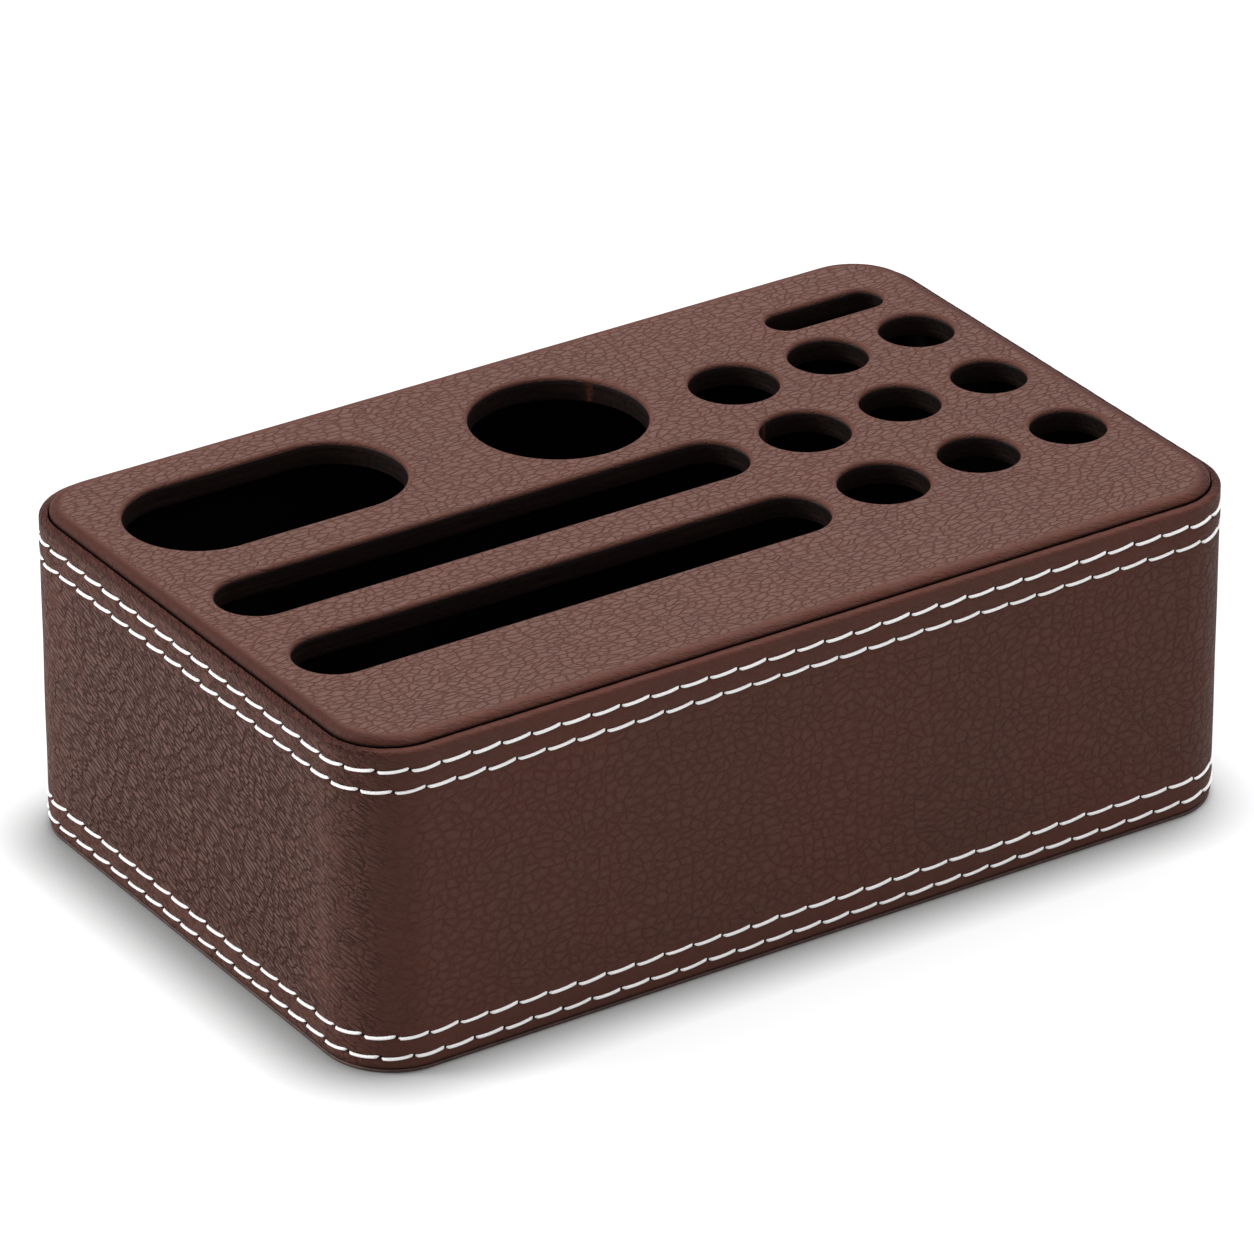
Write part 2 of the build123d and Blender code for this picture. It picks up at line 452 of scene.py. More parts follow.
    def _cells(
        self, g: Graph, place: object, width: float, crease: float, varied: object, shoulder: float
    ) -> tuple[bpy.types.Node, bpy.types.Node]:
        """Adds one size of cell.

        Args:
            g: The graph.
            place: Coordinates in millimetres.
            width: Width of a cell.
            crease: Width of the crease between two cells.
            varied: Noise that makes some creases wide and others narrow.
            shoulder: Reach of a cell's round edge, as a share of its width.

        Returns:
            The cells' domes and the creases between them, both 0 to 1.
        """
        feeds = {"Vector": place, "Scale": 1 / width, "Randomness": 0.9}
        gap = g.add(VORONOI, feeds, voronoi_dimensions="2D", feature="DISTANCE_TO_EDGE")
        ranges = {0: gap, 1: 0.0, 2: shoulder, 3: 0.0, 4: 1.0}
        dome = g.add(MAP_RANGE, ranges, interpolation_type="SMOOTHSTEP")
        reach = g.add(MAP_RANGE, {0: varied, 1: 0.34, 2: 0.66, 3: 0.5 * crease, 4: 1.7 * crease})
        reach = g.add(MATH, {0: reach, 1: width}, operation="DIVIDE")
        ranges = {0: gap, 1: 0.0, 2: reach, 3: 1.0, 4: 0.0}
        groove = g.add(MAP_RANGE, ranges, interpolation_type="SMOOTHSTEP")
        return dome, groove

    def _wrinkles(
        self,
        g: Graph,
        place: object,
        height: object,
        mask: object,
        turn: float,
        stretch: tuple[float, float, float],
        gain: float,
    ) -> bpy.types.Node:
        """Adds creases that run one way, where a mask asks for them.

        Args:
            g: The graph.
            place: Coordinates in millimetres.
            height: The height to add them to.
            mask: Where they are, 0 to 1.
            turn: Degrees that they fall, left to right.
            stretch: Creases per millimetre along and across; the smaller is the way they run.
            gain: Their depth, as a share of the relief.

        Returns:
            The new height.
        """
        level = {"Vector": place, "Angle": math.radians(turn)}
        level = g.add("ShaderNodeVectorRotate", level, rotation_type="Z_AXIS")
        scaled = g.add(VECTOR_MATH, {0: level, 1: stretch}, operation="MULTIPLY")
        noise = g.add(NOISE, {"Vector": scaled, "Scale": 1.0, "Detail": 2.0}, noise_dimensions="2D")
        ridge = g.add(MATH, {0: noise, 1: 0.5}, operation="SUBTRACT")
        ridge = g.add(MATH, {0: ridge}, operation="ABSOLUTE")
        ranges = {0: ridge, 1: 0.0, 2: 0.09, 3: -gain, 4: 0.0}
        fold = g.add(MAP_RANGE, ranges, interpolation_type="SMOOTHSTEP")
        return g.add(MATH, {0: fold, 1: mask, 2: height}, operation="MULTIPLY_ADD")

    def _needle_holes(self, g: Graph, place: bpy.types.Node) -> bpy.types.Node:
        """Marks the needle holes, halfway between the stitches of each row.

        Args:
            g: The graph.
            place: Coordinates in millimetres.

        Returns:
            The mark, 1 in a hole and 0 away from it.
        """
        axes = g.add(SEPARATE, {0: place}).outputs
        row_gap = axes["Y"]
        folded = []
        for fold in self.stitches.folds:
            folded.append(g.add(MATH, {0: row_gap, 1: fold}, operation="SUBTRACT"))
            row_gap = g.add(MATH, {0: folded[-1]}, operation="ABSOLUTE")
        _, from_pair, _ = folded
        outer = g.add(MATH, {0: from_pair, 1: 0.0}, operation="GREATER_THAN")
        turns = g.add(MATH, {0: axes["X"], 1: self.stitches.first}, operation="SUBTRACT")
        turns = g.add(MATH, {0: turns, 1: self.stitches.pitch}, operation="DIVIDE")
        shift = -self.stitches.shifts[-1]
        turns = g.add(MATH, {0: outer, 1: shift, 2: turns}, operation="MULTIPLY_ADD")
        turns = g.add(MATH, {0: turns}, operation="FRACT")
        offset = g.add(MATH, {0: turns, 1: 0.5}, operation="SUBTRACT")
        offset = g.add(MATH, {0: offset, 1: self.stitches.pitch}, operation="MULTIPLY")
        around = g.add(COMBINE, {"X": offset, "Y": row_gap})
        reach = g.add(VECTOR_MATH, {0: around}, operation="LENGTH").outputs["Value"]
        ranges = {0: reach, 1: 0.15, 2: 0.55, 3: 1.0, 4: 0.0}
        return g.add(MAP_RANGE, ranges, interpolation_type="SMOOTHSTEP")

    def _seam(self, g: Graph, place: bpy.types.Node) -> bpy.types.Node:
        """Marks the upright butt seam where the wrap's two ends meet.

        Args:
            g: The graph.
            place: Coordinates in millimetres.

        Returns:
            The mark, 1 at the seam and 0 away from it.
        """
        along = g.add(SEPARATE, {0: place}).outputs["X"]
        half = self.stitches.perimeter / 2
        centred = g.add(MATH, {0: along, 1: half}, operation="SUBTRACT")
        centred = g.add(MATH, {0: centred}, operation="ABSOLUTE")
        ranges = {0: centred, 1: half - 0.35, 2: half - 0.05, 3: 0.0, 4: 1.0}
        return g.add(MAP_RANGE, ranges, interpolation_type="SMOOTHSTEP")


@dataclass(frozen=True)
class StripLeather(Finish):
    """Thin smooth leather strip, skived and dyed almost black, with faint marks along its length."""

    dye: str
    streak: str
    raw: str  # the cut edge where the strip's ends meet

    def build(self) -> bpy.types.Material:
        """Builds the material.

        Returns:
            The material, which reads the piece's UV map and its seam attribute.
        """
        material, g = self.begin()
        uv = g.add("ShaderNodeUVMap", uv_map=UV_NAME)
        place = g.add(VECTOR_MATH, {0: uv, 1: (0.05 / MM, 1.6 / MM, 1.0)}, operation="MULTIPLY")
        streaks = g.add(NOISE, {"Vector": place, "Scale": 1.0, "Detail": 4.0}, noise_dimensions="2D")
        spots = g.add(VECTOR_MATH, {0: uv, "Scale": 0.9 / MM}, operation="SCALE")
        spots = g.add(NOISE, {"Vector": spots, "Scale": 1.0, "Detail": 3.0}, noise_dimensions="2D")
        colour = self.blend(g, streaks, 0.42, 0.66, self.dye, self.streak)
        seam = g.add("ShaderNodeAttribute", attribute_name="seam").outputs["Fac"]
        patchy = g.add(MAP_RANGE, {0: spots, 1: 0.3, 2: 0.6, 3: 0.3, 4: 0.9})
        patchy = g.add(MATH, {0: patchy, 1: seam}, operation="MULTIPLY")
        colour = g.add(MIX, {0: patchy, 1: colour, 2: linear(self.raw)})
        height = g.add(MATH, {0: streaks, 1: 0.6, 2: spots.outputs[0]}, operation="MULTIPLY_ADD")
        bump = g.add(BUMP, {"Distance": 0.09 * MM, "Height": height})
        rough = g.add(MAP_RANGE, {0: spots, 1: 0.3, 2: 0.7, 3: 0.42, 4: 0.6})
        self.finish(
            g, Base_Color=colour, Roughness=rough, Normal=bump, IOR=1.48, Specular_IOR_Level=0.15
        )
        return material


@dataclass(frozen=True)
class SewingThread(Finish):
    """Bonded polyester thread, bleached white: three plies whose twist shows as slanted ribs."""

    colour: str
    shadow: str
    ply: float  # distance between two ribs, along the thread

    def build(self) -> bpy.types.Material:
        """Builds the material.

        Returns:
            The material, which reads the lay attribute: millimetres along the row.
        """
        material, g = self.begin()
        lay = g.add("ShaderNodeAttribute", attribute_name="lay").outputs["Fac"]
        local = g.add("ShaderNodeTexCoord").outputs["Object"]
        up = g.add(SEPARATE, {0: local}).outputs["Z"]
        slant = g.add(MATH, {0: up, 1: 1.2 / MM, 2: lay}, operation="MULTIPLY_ADD")
        turns = g.add(MATH, {0: slant, 1: 2 * math.pi / self.ply}, operation="MULTIPLY")
        ribs = g.add(MATH, {0: turns}, operation="SINE")
        fuzz = g.add(NOISE, {"Vector": local, "Scale": 3.0 / MM, "Detail": 2.0})
        height = g.add(MATH, {0: fuzz, 1: 0.8, 2: ribs}, operation="MULTIPLY_ADD")
        share = g.add(MAP_RANGE, {0: ribs, 1: -1.0, 2: -0.2, 3: 0.2, 4: 0.0})
        colour = g.add(MIX, {0: share, 1: linear(self.colour), 2: linear(self.shadow)})
        bump = g.add(BUMP, {"Distance": 0.03 * MM, "Height": height})
        self.finish(
            g,
            Base_Color=colour,
            Roughness=0.5,
            Normal=bump,
            Specular_IOR_Level=1.0,
            Coat_Weight=0.4,
            Coat_Roughness=0.3,
            Sheen_Weight=0.5,
        )
        return material


@dataclass(frozen=True)
class Velvet(Finish):
    """Flocked backing velvet, black: a short pile that takes the light only at a slant."""

    pile: str
    lit: str

    def build(self) -> bpy.types.Material:
        """Builds the material.

        Returns:
            The material, on object coordinates.
        """
        material, g = self.begin()
        local = g.add("ShaderNodeTexCoord").outputs["Object"]
        fibres = g.add(NOISE, {"Vector": local, "Scale": 1.8 / MM, "Detail": 3.0})
        brushed = g.add(NOISE, {"Vector": local, "Scale": 0.04 / MM, "Detail": 2.0})
        colour = self.blend(g, brushed, 0.35, 0.7, self.pile, self.lit)
        bump = g.add(BUMP, {"Distance": 0.25 * MM, "Height": fibres})
        self.finish(
            g,
            Base_Color=colour,
            Roughness=0.95,
            Normal=bump,
            Sheen_Weight=0.04,
            Sheen_Roughness=0.4,
            Specular_IOR_Level=0.05,
        )
        return material


@dataclass(frozen=True)
class Fibreboard(Finish):
    """Medium-density fibreboard, sawn: tan, with pale and dark fibres pressed every way."""

    pulp: str
    fibre: str

    def build(self) -> bpy.types.Material:
        """Builds the material.

        Returns:
            The material, on object coordinates.
        """
        material, g = self.begin()
        local = g.add("ShaderNodeTexCoord").outputs["Object"]
        pulp = g.add(NOISE, {"Vector": local, "Scale": 0.25 / MM, "Detail": 5.0})
        scales = (0.5 / MM, 2.5 / MM, 2.5 / MM)
        stretched = g.add(VECTOR_MATH, {0: local, 1: scales}, operation="MULTIPLY")
        fibres = g.add(NOISE, {"Vector": stretched, "Scale": 1.0, "Detail": 3.0})
        mixed = g.add(MATH, {0: pulp, 1: fibres}, operation="ADD")
        colour = self.blend(g, mixed, 0.8, 1.25, self.pulp, self.fibre)
        bump = g.add(BUMP, {"Distance": 0.08 * MM, "Height": fibres})
        self.finish(g, Base_Color=colour, Roughness=0.82, Normal=bump)
        return material


@dataclass(frozen=True)
class LeatherboardSheet(Finish):
    """Bonded leatherboard under the base: red brown, calendered with a fine hair-cell print."""

    face: str
    speck: str

    def build(self) -> bpy.types.Material:
        """Builds the material.

        Returns:
            The material, on object coordinates.
        """
        material, g = self.begin()
        local = g.add("ShaderNodeTexCoord").outputs["Object"]
        print_cells = g.add(VORONOI, {"Vector": local, "Scale": 0.9 / MM}, feature="SMOOTH_F1")
        specks = g.add(NOISE, {"Vector": local, "Scale": 0.5 / MM, "Detail": 4.0})
        colour = self.blend(g, specks, 0.4, 0.65, self.face, self.speck)
        bump = g.add(BUMP, {"Distance": 0.15 * MM, "Height": print_cells})
        self.finish(g, Base_Color=colour, Roughness=0.62, Normal=bump)
        return material


# --- Outlines and meshes ---


@dataclass(frozen=True)
class Extent:
    """A CAD node's place at rest, in millimetres."""

    low: np.ndarray
    high: np.ndarray

    @classmethod
    def of(cls, node: str) -> "Extent":
        """Reads it from the frame."""
        low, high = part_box(node)
        return cls(np.array(low) / MM, np.array(high) / MM)

    @property
    def size(self) -> np.ndarray:
        """Length, width and height."""
        return self.high - self.low

    @property
    def centre(self) -> np.ndarray:
        """Middle of the extent."""
        return (self.high + self.low) / 2


@dataclass(frozen=True)
class RoundedOutline:
    """A rectangle with rounded corners, walked anticlockwise from the middle of its back."""

    length: float
    width: float
    radius: float

    @property
    def runs(self) -> list[float]:
        """Lengths of the runs.

        Returns:
            Five straight and four round ones in turn, from the middle of the back.
        """
        side, end = self.length - 2 * self.radius, self.width - 2 * self.radius
        arc = math.pi / 2 * self.radius
        return [side / 2, arc, end, arc, side, arc, end, arc, side / 2]

    @property
    def perimeter(self) -> float:
        """Length of the whole outline."""
        return sum(self.runs)

    def inset(self, distance: float) -> "RoundedOutline":
        """Gives the outline that far inside this one."""
        twice = 2 * distance
        return RoundedOutline(self.length - twice, self.width - twice, self.radius - distance)

    def walk(self, stations: np.ndarray) -> tuple[np.ndarray, np.ndarray, np.ndarray]:
        """Finds places along the outline.

        Args:
            stations: Distances from the start.

        Returns:
            Points, outward normals, and how far round a corner each is: 0 on a straight run and
            at a corner's ends, 1 at its middle.
        """
        cx, cy = self.length / 2 - self.radius, self.width / 2 - self.radius
        corners = [(-cx, cy), (-cx, -cy), (cx, -cy), (cx, cy)]
        starts = [(0.0, cy), (-cx, cy), (-cx, -cy), (cx, -cy), (cx, cy)]
        points, normals = np.zeros((len(stations), 2)), np.zeros((len(stations), 2))
        bend = np.zeros(len(stations))
        begin = 0.0
        for index, run in enumerate(self.runs):
            inside = (stations >= begin - 1e-9) & (stations < begin + run + 1e-9)
            travel = stations[inside] - begin
            turned = math.pi / 2 * (index // 2 + 1) + np.zeros(len(travel))
            if index % 2:
                turned += travel / self.radius
                centre = np.array(corners[index // 2]) + np.zeros((len(travel), 2))
                bend[inside] = np.sin(math.pi * travel / run)
            else:
                heading = math.pi / 2 * (index // 2 + 2)
                along = np.array([math.cos(heading), math.sin(heading)])
                centre = np.array(starts[index // 2]) + travel[:, None] * along
            normals[inside] = np.stack([np.cos(turned), np.sin(turned)], 1)
            points[inside] = centre + normals[inside] * self.radius
            begin += run
        return points, normals, bend

    def depth(self, xy: np.ndarray) -> np.ndarray:
        """Gives how far inside the outline each point is.

        Args:
            xy: The points, (n, 2).

        Returns:
            The distances; they are negative outside it.
        """
        half = np.array([self.length, self.width]) / 2 - self.radius
        over = np.abs(xy) - half
        outside = np.hypot(*np.maximum(over, 0).T)
        return self.radius - outside - np.minimum(over.max(1), 0)


@dataclass(frozen=True)
class Opening:
    """A round or slotted opening, walked anticlockwise; a round one has no straight runs."""

    name: str
    x: float
    y: float
    length: float
    width: float

    @property
    def perimeter(self) -> float:
        """Length of its edge."""
        return 2 * (self.length - self.width) + math.pi * self.width

    def walk(self, stations: np.ndarray) -> tuple[np.ndarray, np.ndarray]:
        """Finds places along the opening's edge.

        Args:
            stations: Distances from the front end of its right-hand round.

        Returns:
            Points, and normals that point away from the opening's middle.
        """
        radius, half = self.width / 2, (self.length - self.width) / 2
        arc, run = math.pi * radius, 2 * half
        angle = -math.pi / 2 + np.clip(stations, 0, arc) / radius
        angle = angle + np.clip(stations - arc - run, 0, arc) / radius
        shift = half - np.clip(stations - arc, 0, run) + np.clip(stations - 2 * arc - run, 0, run)
        normals = np.stack([np.cos(angle), np.sin(angle)], 1)
        centre = np.stack([self.x + shift, np.full(len(stations), self.y)], 1)
        return centre + normals * radius, normals

    def widened(self, skin: float) -> "Opening":
        """Gives the opening that is wider by a skin on every side."""
        return Opening(self.name, self.x, self.y, self.length + 2 * skin, self.width + 2 * skin)

    def gap(self, xy: np.ndarray) -> np.ndarray:
        """Gives how far outside the opening each point is."""
        beyond = np.maximum(np.abs(xy[:, 0] - self.x) - (self.length - self.width) / 2, 0)
        return np.hypot(beyond, xy[:, 1] - self.y) - self.width / 2


def arc_rows(centre: tuple[float, float], radius: float, start: float, end: float, steps: int) -> list:
    """Gives the points of a round stretch of a profile.

    Args:
        centre: Its centre, as offset and height.
        radius: Its radius.
        start: First angle, in degrees from the offset's own direction.
        end: Last angle.
        steps: Number of segments.

    Returns:
        The points from first to last, as (offset, height).
    """
    angles = np.radians(np.linspace(start, end, steps + 1))
    return [(centre[0] + radius * math.cos(a), centre[1] + radius * math.sin(a)) for a in angles]


def spaced(perimeter: float, count: int) -> np.ndarray:
    """Gives that many evenly spaced distances round a closed outline."""
    return np.linspace(0, perimeter, count, endpoint=False)


def profile_length(profile: np.ndarray) -> np.ndarray:
    """Gives the distance along a profile to each of its points."""
    steps = np.hypot(*np.diff(profile, axis=0).T)
    return np.concatenate([[0.0], np.cumsum(steps)])


def closed_length(profile: np.ndarray) -> np.ndarray:
    """Gives the distance along a closed profile to each of its points, and back to the first."""
    return profile_length(np.vstack([profile, profile[:1]]))


def sweep(points: np.ndarray, normals: np.ndarray, profile: np.ndarray) -> np.ndarray:
    """Carries a profile along an outline.

    Args:
        points: Places along the outline, (n, 2).
        normals: Directions of a positive offset there, (n, 2).
        profile: Offsets and heights, (m, 2).

    Returns:
        The points of the swept strip, (n, m, 3).
    """
    flat = points[:, None, :] + normals[:, None, :] * profile[None, :, :1]
    height = np.broadcast_to(profile[None, :, 1:], (len(points), len(profile), 1))
    return np.concatenate([flat, height], axis=2)


def strip_faces(ids: np.ndarray) -> np.ndarray:
    """Joins a strip's columns with four-sided faces, the last column to the first.

    Args:
        ids: Vertex numbers, (columns, rows).

    Returns:
        Faces, (columns * (rows - 1), 4).
    """
    after = np.roll(ids, -1, axis=0)
    quads = [ids[:, :-1], after[:, :-1], after[:, 1:], ids[:, 1:]]
    return np.stack(quads, axis=2).reshape(-1, 4)


def strip_uv(stations: np.ndarray, total: float, rows: np.ndarray) -> np.ndarray:
    """Gives the UV of each corner of a strip's faces, in metres along and across it.

    Args:
        stations: Distance along the outline to each column.
        total: Length of the whole outline.
        rows: Distance across the strip to each row.

    Returns:
        UV for each face corner, (columns * (rows - 1) * 4, 2).
    """
    here, after = stations, np.append(stations[1:], stations[0] + total)
    low, high = rows[:-1], rows[1:]
    corners = [(here, low), (after, low), (after, high), (here, high)]
    grids = [np.stack(np.meshgrid(u, v, indexing="ij"), axis=2) for u, v in corners]
    return np.stack(grids, axis=2).reshape(-1, 2) * MM


def in_scene(name: str, data: bpy.types.ID) -> bpy.types.Object:
    """Makes an object at the origin and links it to the scene.

    Args:
        name: The object's name.
        data: Its mesh, lamp or camera.

    Returns:
        The object.
    """
    thing = bpy.data.objects.new(name, data)
    bpy.context.scene.collection.objects.link(thing)
    return thing


def make_piece(
    name: str,
    vertices: np.ndarray,
    faces: list,
    uv: np.ndarray | None = None,
    masks: dict[str, np.ndarray] | None = None,
) -> bpy.types.Object:
    """Makes a mesh object at the origin.

    Args:
        name: The piece's name.
        vertices: Its points in millimetres, (n, 3).
        faces: Its faces, as lists of vertex numbers.
        uv: UV for each face corner in turn.
        masks: Values for each vertex, by attribute name.

    Returns:
        The object, linked to the scene and smooth-shaded up to its sharp edges.
    """
    mesh = bpy.data.meshes.new(name)
    mesh.from_pydata((vertices * MM).tolist(), [], faces)
    if uv is not None:
        layer = mesh.uv_layers.new(name=UV_NAME)
        layer.data.foreach_set("uv", uv.astype(np.float32).ravel())
    for mask, values in (masks or {}).items():
        attribute = mesh.attributes.new(mask, "FLOAT", "POINT")
        attribute.data.foreach_set("value", values.astype(np.float32).ravel())
    mesh.shade_smooth()
    mesh.set_sharp_from_angle(angle=math.radians(SHARP_ANGLE))
    mesh.update()
    return in_scene(name, mesh)


def make_ring(
    name: str,
    grid: np.ndarray,
    stations: np.ndarray,
    perimeter: float,
    across: np.ndarray,
    masks: dict[str, np.ndarray] | None = None,
) -> bpy.types.Object:
    """Makes a piece from a closed profile that was carried right round an outline.

    Args:
        name: The piece's name.
        grid: The swept points, (columns, rows, 3); the last row joins the first.
        stations: Distance along the outline to each column.
        perimeter: Length of the outline.
        across: Distance along the profile to each row, and back to the first.
        masks: Values for each vertex, by attribute name.

    Returns:
        The piece.
    """
    ids = np.arange(grid.shape[0] * grid.shape[1]).reshape(grid.shape[:2])
    ids = np.concatenate([ids, ids[:, :1]], axis=1)
    uv = strip_uv(stations, perimeter, across)
    return make_piece(name, grid.reshape(-1, 3), strip_faces(ids).tolist(), uv, masks)


def dress(
    piece: bpy.types.Object, finish: Finish, material: bpy.types.Material, body: Body, node: str
) -> None:
    """Gives a piece its material, hangs it on its body and hides the CAD node that it replaces.

    Args:
        piece: The finished piece.
        finish: The finish that made the material; not used.
        material: Its material, which a piece made by nodes already has.
        body: The body that it moves with.
        node: The CAD node that it replaces.
    """
    if not piece.data.materials:
        piece.data.materials.append(material)
    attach(piece, body.value)
    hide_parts(node)
    LOG.info("%s: %d faces, rides on %s", piece.name, len(piece.data.polygons), body.value)


# --- The box ---


@dataclass
class SideWrap:
    """The leather round the box: up the sides, over into the rim, and turned in at both ends.

    Attributes:
        outline: The box's outline, outside the leather.
        bottom: Height of its lower edge.
        rim: Height of the rim's top.
        ledge: Height of the ledge that the lid rests on.
        stitches: Where the stitches fall.
        thickness: The leather's thickness.
        foot_radius: Rounding at the foot.
        rim_radius: Rounding of the rim's outer edge.
        inner_radius: Rounding of the rim's inner edge, on the lid's side.
        fold: Thickness of the rim, which is leather folded over.
        turned_in: How far the leather reaches in, under the base and over the walls.
        channel_depth: Depth of the channel that the thread presses into the leather.
        channel_width: Half width of the channel.
        dimple_depth: Depth of the dimple round a needle hole.
        dimple_width: Half width of the dimple.
        puff: Swell of the leather between the two rows of a pair.
        puff_width: Half width of that swell.
        sway: Unevenness of the sides.
        calm_foot: Heights over which the unevenness grows from nothing, above the foot.
        calm_rim: Heights over which it does so downwards, below the rim.
        waist: Height of the points halfway up its inside.
        phases: Columns from one needle hole to the next, as shares of the pitch.
    """

    outline: RoundedOutline
    bottom: float
    rim: float
    ledge: float
    stitches: StitchLayout
    thickness: float = 1.0
    foot_radius: float = 1.3
    rim_radius: float = 0.95
    inner_radius: float = 0.35
    fold: float = 2.1
    turned_in: float = 6.0
    channel_depth: float = 0.17
    channel_width: float = 0.75
    dimple_depth: float = 0.3
    dimple_width: float = 0.5
    puff: float = 0.12
    puff_width: float = 1.5
    sway: float = 0.07
    calm_foot: tuple[float, float] = (6.0, 20.0)
    calm_rim: tuple[float, float] = (72.0, 58.0)
    waist: float = 40.0
    phases: tuple = (0.0, 0.05, 0.12, 0.25, 0.38, 0.45, 0.5, 0.55, 0.62, 0.75, 0.88, 0.95)

    def stations(self) -> np.ndarray:
        """Gives the columns' places, closest together at the needle holes.

        Returns:
            Distances along the outline, smallest first.
        """
        count = round(self.stitches.perimeter / self.stitches.pitch)
        holes = self.stitches.first + self.stitches.pitch * (np.arange(count) + 0.5)
        places = (holes[:, None] + self.stitches.pitch * np.array(self.phases)).ravel()
        return np.sort(places % self.stitches.perimeter)

    def side_heights(self) -> np.ndarray:
        """Gives the rows' heights on the side, closest together at the stitches.

        Returns:
            Heights from the foot's rounding up to the rim's.
        """
        low, high = self.bottom + self.foot_radius, self.rim - self.rim_radius
        below, above = self.stitches.rows[1] + 2.0, self.stitches.rows[2] - 2.0
        foot = np.linspace(low, below, 18)
        middle = np.linspace(below, above, 15)[1:-1]
        head = np.linspace(above, high, 22)
        return np.concatenate([foot, middle, head])

    def profile(self) -> tuple[np.ndarray, slice]:
        """Gives the closed profile, from the edge under the base round to its inside.

        Returns:
            Its points as offset and height, and which of them are on the side.
        """
        foot_centre = (-self.foot_radius, self.bottom + self.foot_radius)
        foot = arc_rows(foot_centre, self.foot_radius, -90, 0, 6)
        side = [(0.0, z) for z in self.side_heights()]
        top = self.rim - self.rim_radius
        outer = arc_rows((-self.rim_radius, top), self.rim_radius, 0, 90, 6)
        inner_top = self.rim - self.inner_radius
        inner = arc_rows((self.inner_radius - self.fold, inner_top), self.inner_radius, 90, 180, 4)
        inner += [(-self.fold, inner_top - 1.0), (-self.fold, inner_top - 2.0)]
        deep, skin = -self.turned_in, self.thickness
        ledge = [(-self.fold, self.ledge), (-self.fold - 1.5, self.ledge), (deep + 0.3, self.ledge)]
        ledge += [(deep, self.ledge - 0.3), (deep, self.ledge - skin)]
        back = [(-skin, self.ledge - skin), (-skin, self.waist), (-skin, foot_centre[1])]
        back += [(-self.foot_radius, self.bottom + skin), (deep, self.bottom + skin)]
        turned = [(deep, self.bottom), (deep / 2, self.bottom)]
        rows = turned + foot[:-1] + side + outer[1:] + inner + ledge + back
        start = len(turned) + len(foot) - 1
        return np.array(rows), slice(start, start + len(side))

    def relief(self, along: np.ndarray, height: np.ndarray) -> np.ndarray:
        """Gives how far the side stands out from flat at each place on it.

        Args:
            along: Distances along the outline.
            height: Heights, in the same shape.

        Returns:
            The distances outwards.
        """
        turns = (along - self.stitches.first) / self.stitches.pitch
        out = self.sway * ripple(along, height, 34.0)
        out = out * ease(height, *self.calm_foot) * ease(height, *self.calm_rim)
        for row, shift in zip(self.stitches.rows, self.stitches.shifts):
            across = height - row
            to_hole = ((turns - shift) % 1.0 - 0.5) * self.stitches.pitch
            out = out - self.channel_depth * np.exp(-((across / self.channel_width) ** 2))
            hole = (across / self.dimple_width) ** 2 + (to_hole / self.dimple_width) ** 2
            out = out - self.dimple_depth * np.exp(-hole)
        for low, high in (self.stitches.rows[:2], self.stitches.rows[2:]):
            from_middle = (height - (low + high) / 2) / self.puff_width
            out = out + self.puff * np.exp(-(from_middle**2))
        return out

    def build(self) -> bpy.types.Object:
        """Builds the wrap as one closed shell.

        Returns:
            The wrap, with the attributes that its leather reads.
        """
        stations = self.stations()
        points, normals, bend = self.outline.walk(stations)
        profile, side = self.profile()
        grid = sweep(points, normals, profile)
        along, height = np.meshgrid(stations, profile[side, 1], indexing="ij")
        grid[:, side, :2] += normals[:, None, :] * self.relief(along, height)[:, :, None]
        wobble = 0.07 * waver(stations, 5.3) + 0.05 * waver(stations, 21.0)
        crest = ease(profile[:, 1], self.rim - 1.6, self.rim - 0.3)
        grid[:, :, 2] += wobble[:, None] * crest - 0.08 * crest
        across = closed_length(profile)
        across = across - across[side.start] + profile[side.start, 1]
        masks = self._masks(profile, side, bend, points, normals)
        return make_ring("side_wrap_leather", grid, stations, self.stitches.perimeter, across, masks)

    def _masks(
        self,
        profile: np.ndarray,
        side: slice,
        bend: np.ndarray,
        points: np.ndarray,
        normals: np.ndarray,
    ) -> dict[str, np.ndarray]:
        """Gives the wrap's attributes.

        Args:
            profile: The profile's points.
            side: Which of them are on the side.
            bend: How far round a corner each column is.
            points: Each column's place on the outline.
            normals: Its outward normal.

        Returns:
            By name, each vertex's share: smooth where the hide is stretched, worn where it is
            rubbed, tuck and bend where it creases, deep and end_edge_shade where shade is painted,
            and end_face on the left and right faces.
        """
        height, rows = profile[:, 1], len(profile)
        foot_row, rim_row = self.stitches.rows[1:3]
        hidden = np.ones(rows, bool)
        hidden[side.start - 6 : side.stop + 14] = False
        near_foot = ease(height, foot_row + 4.5, foot_row - 0.5)
        near_rim = ease(height, rim_row - 4.5, rim_row + 0.5)
        smooth = np.where(hidden, 0.6, np.maximum(near_foot, near_rim))
        worn_rim = ease(height, self.rim - 1.3, self.rim - 0.35)
        worn_foot = 0.5 * ease(height, self.bottom + 1.6, self.bottom + 0.2)
        worn = np.where(hidden, 0.0, np.maximum(worn_rim, worn_foot))
        tuck = np.where(hidden, 0.0, np.maximum(0.75 * near_rim, 0.4 * near_foot))
        # Painted shade in the groove: the rim's inner face goes near-black near its top
        inner = (profile[:, 0] < self.inner_radius - self.fold) & (height > self.ledge - 0.5)
        deep = np.where(inner, ease(height, self.rim - 0.15, self.rim - 0.7), 0.0)
        # Painted shade: the rolled rim darkens on the end faces
        end_edge_shade = np.where(hidden, 0.0, 0.8 * ease(height, self.rim - 2.0, self.rim - 0.6))
        masks = {"smooth": smooth, "worn": worn, "tuck": tuck, "deep": deep, "end_edge_shade": end_edge_shade}
        spread = {name: np.tile(values, len(bend)) for name, values in masks.items()}

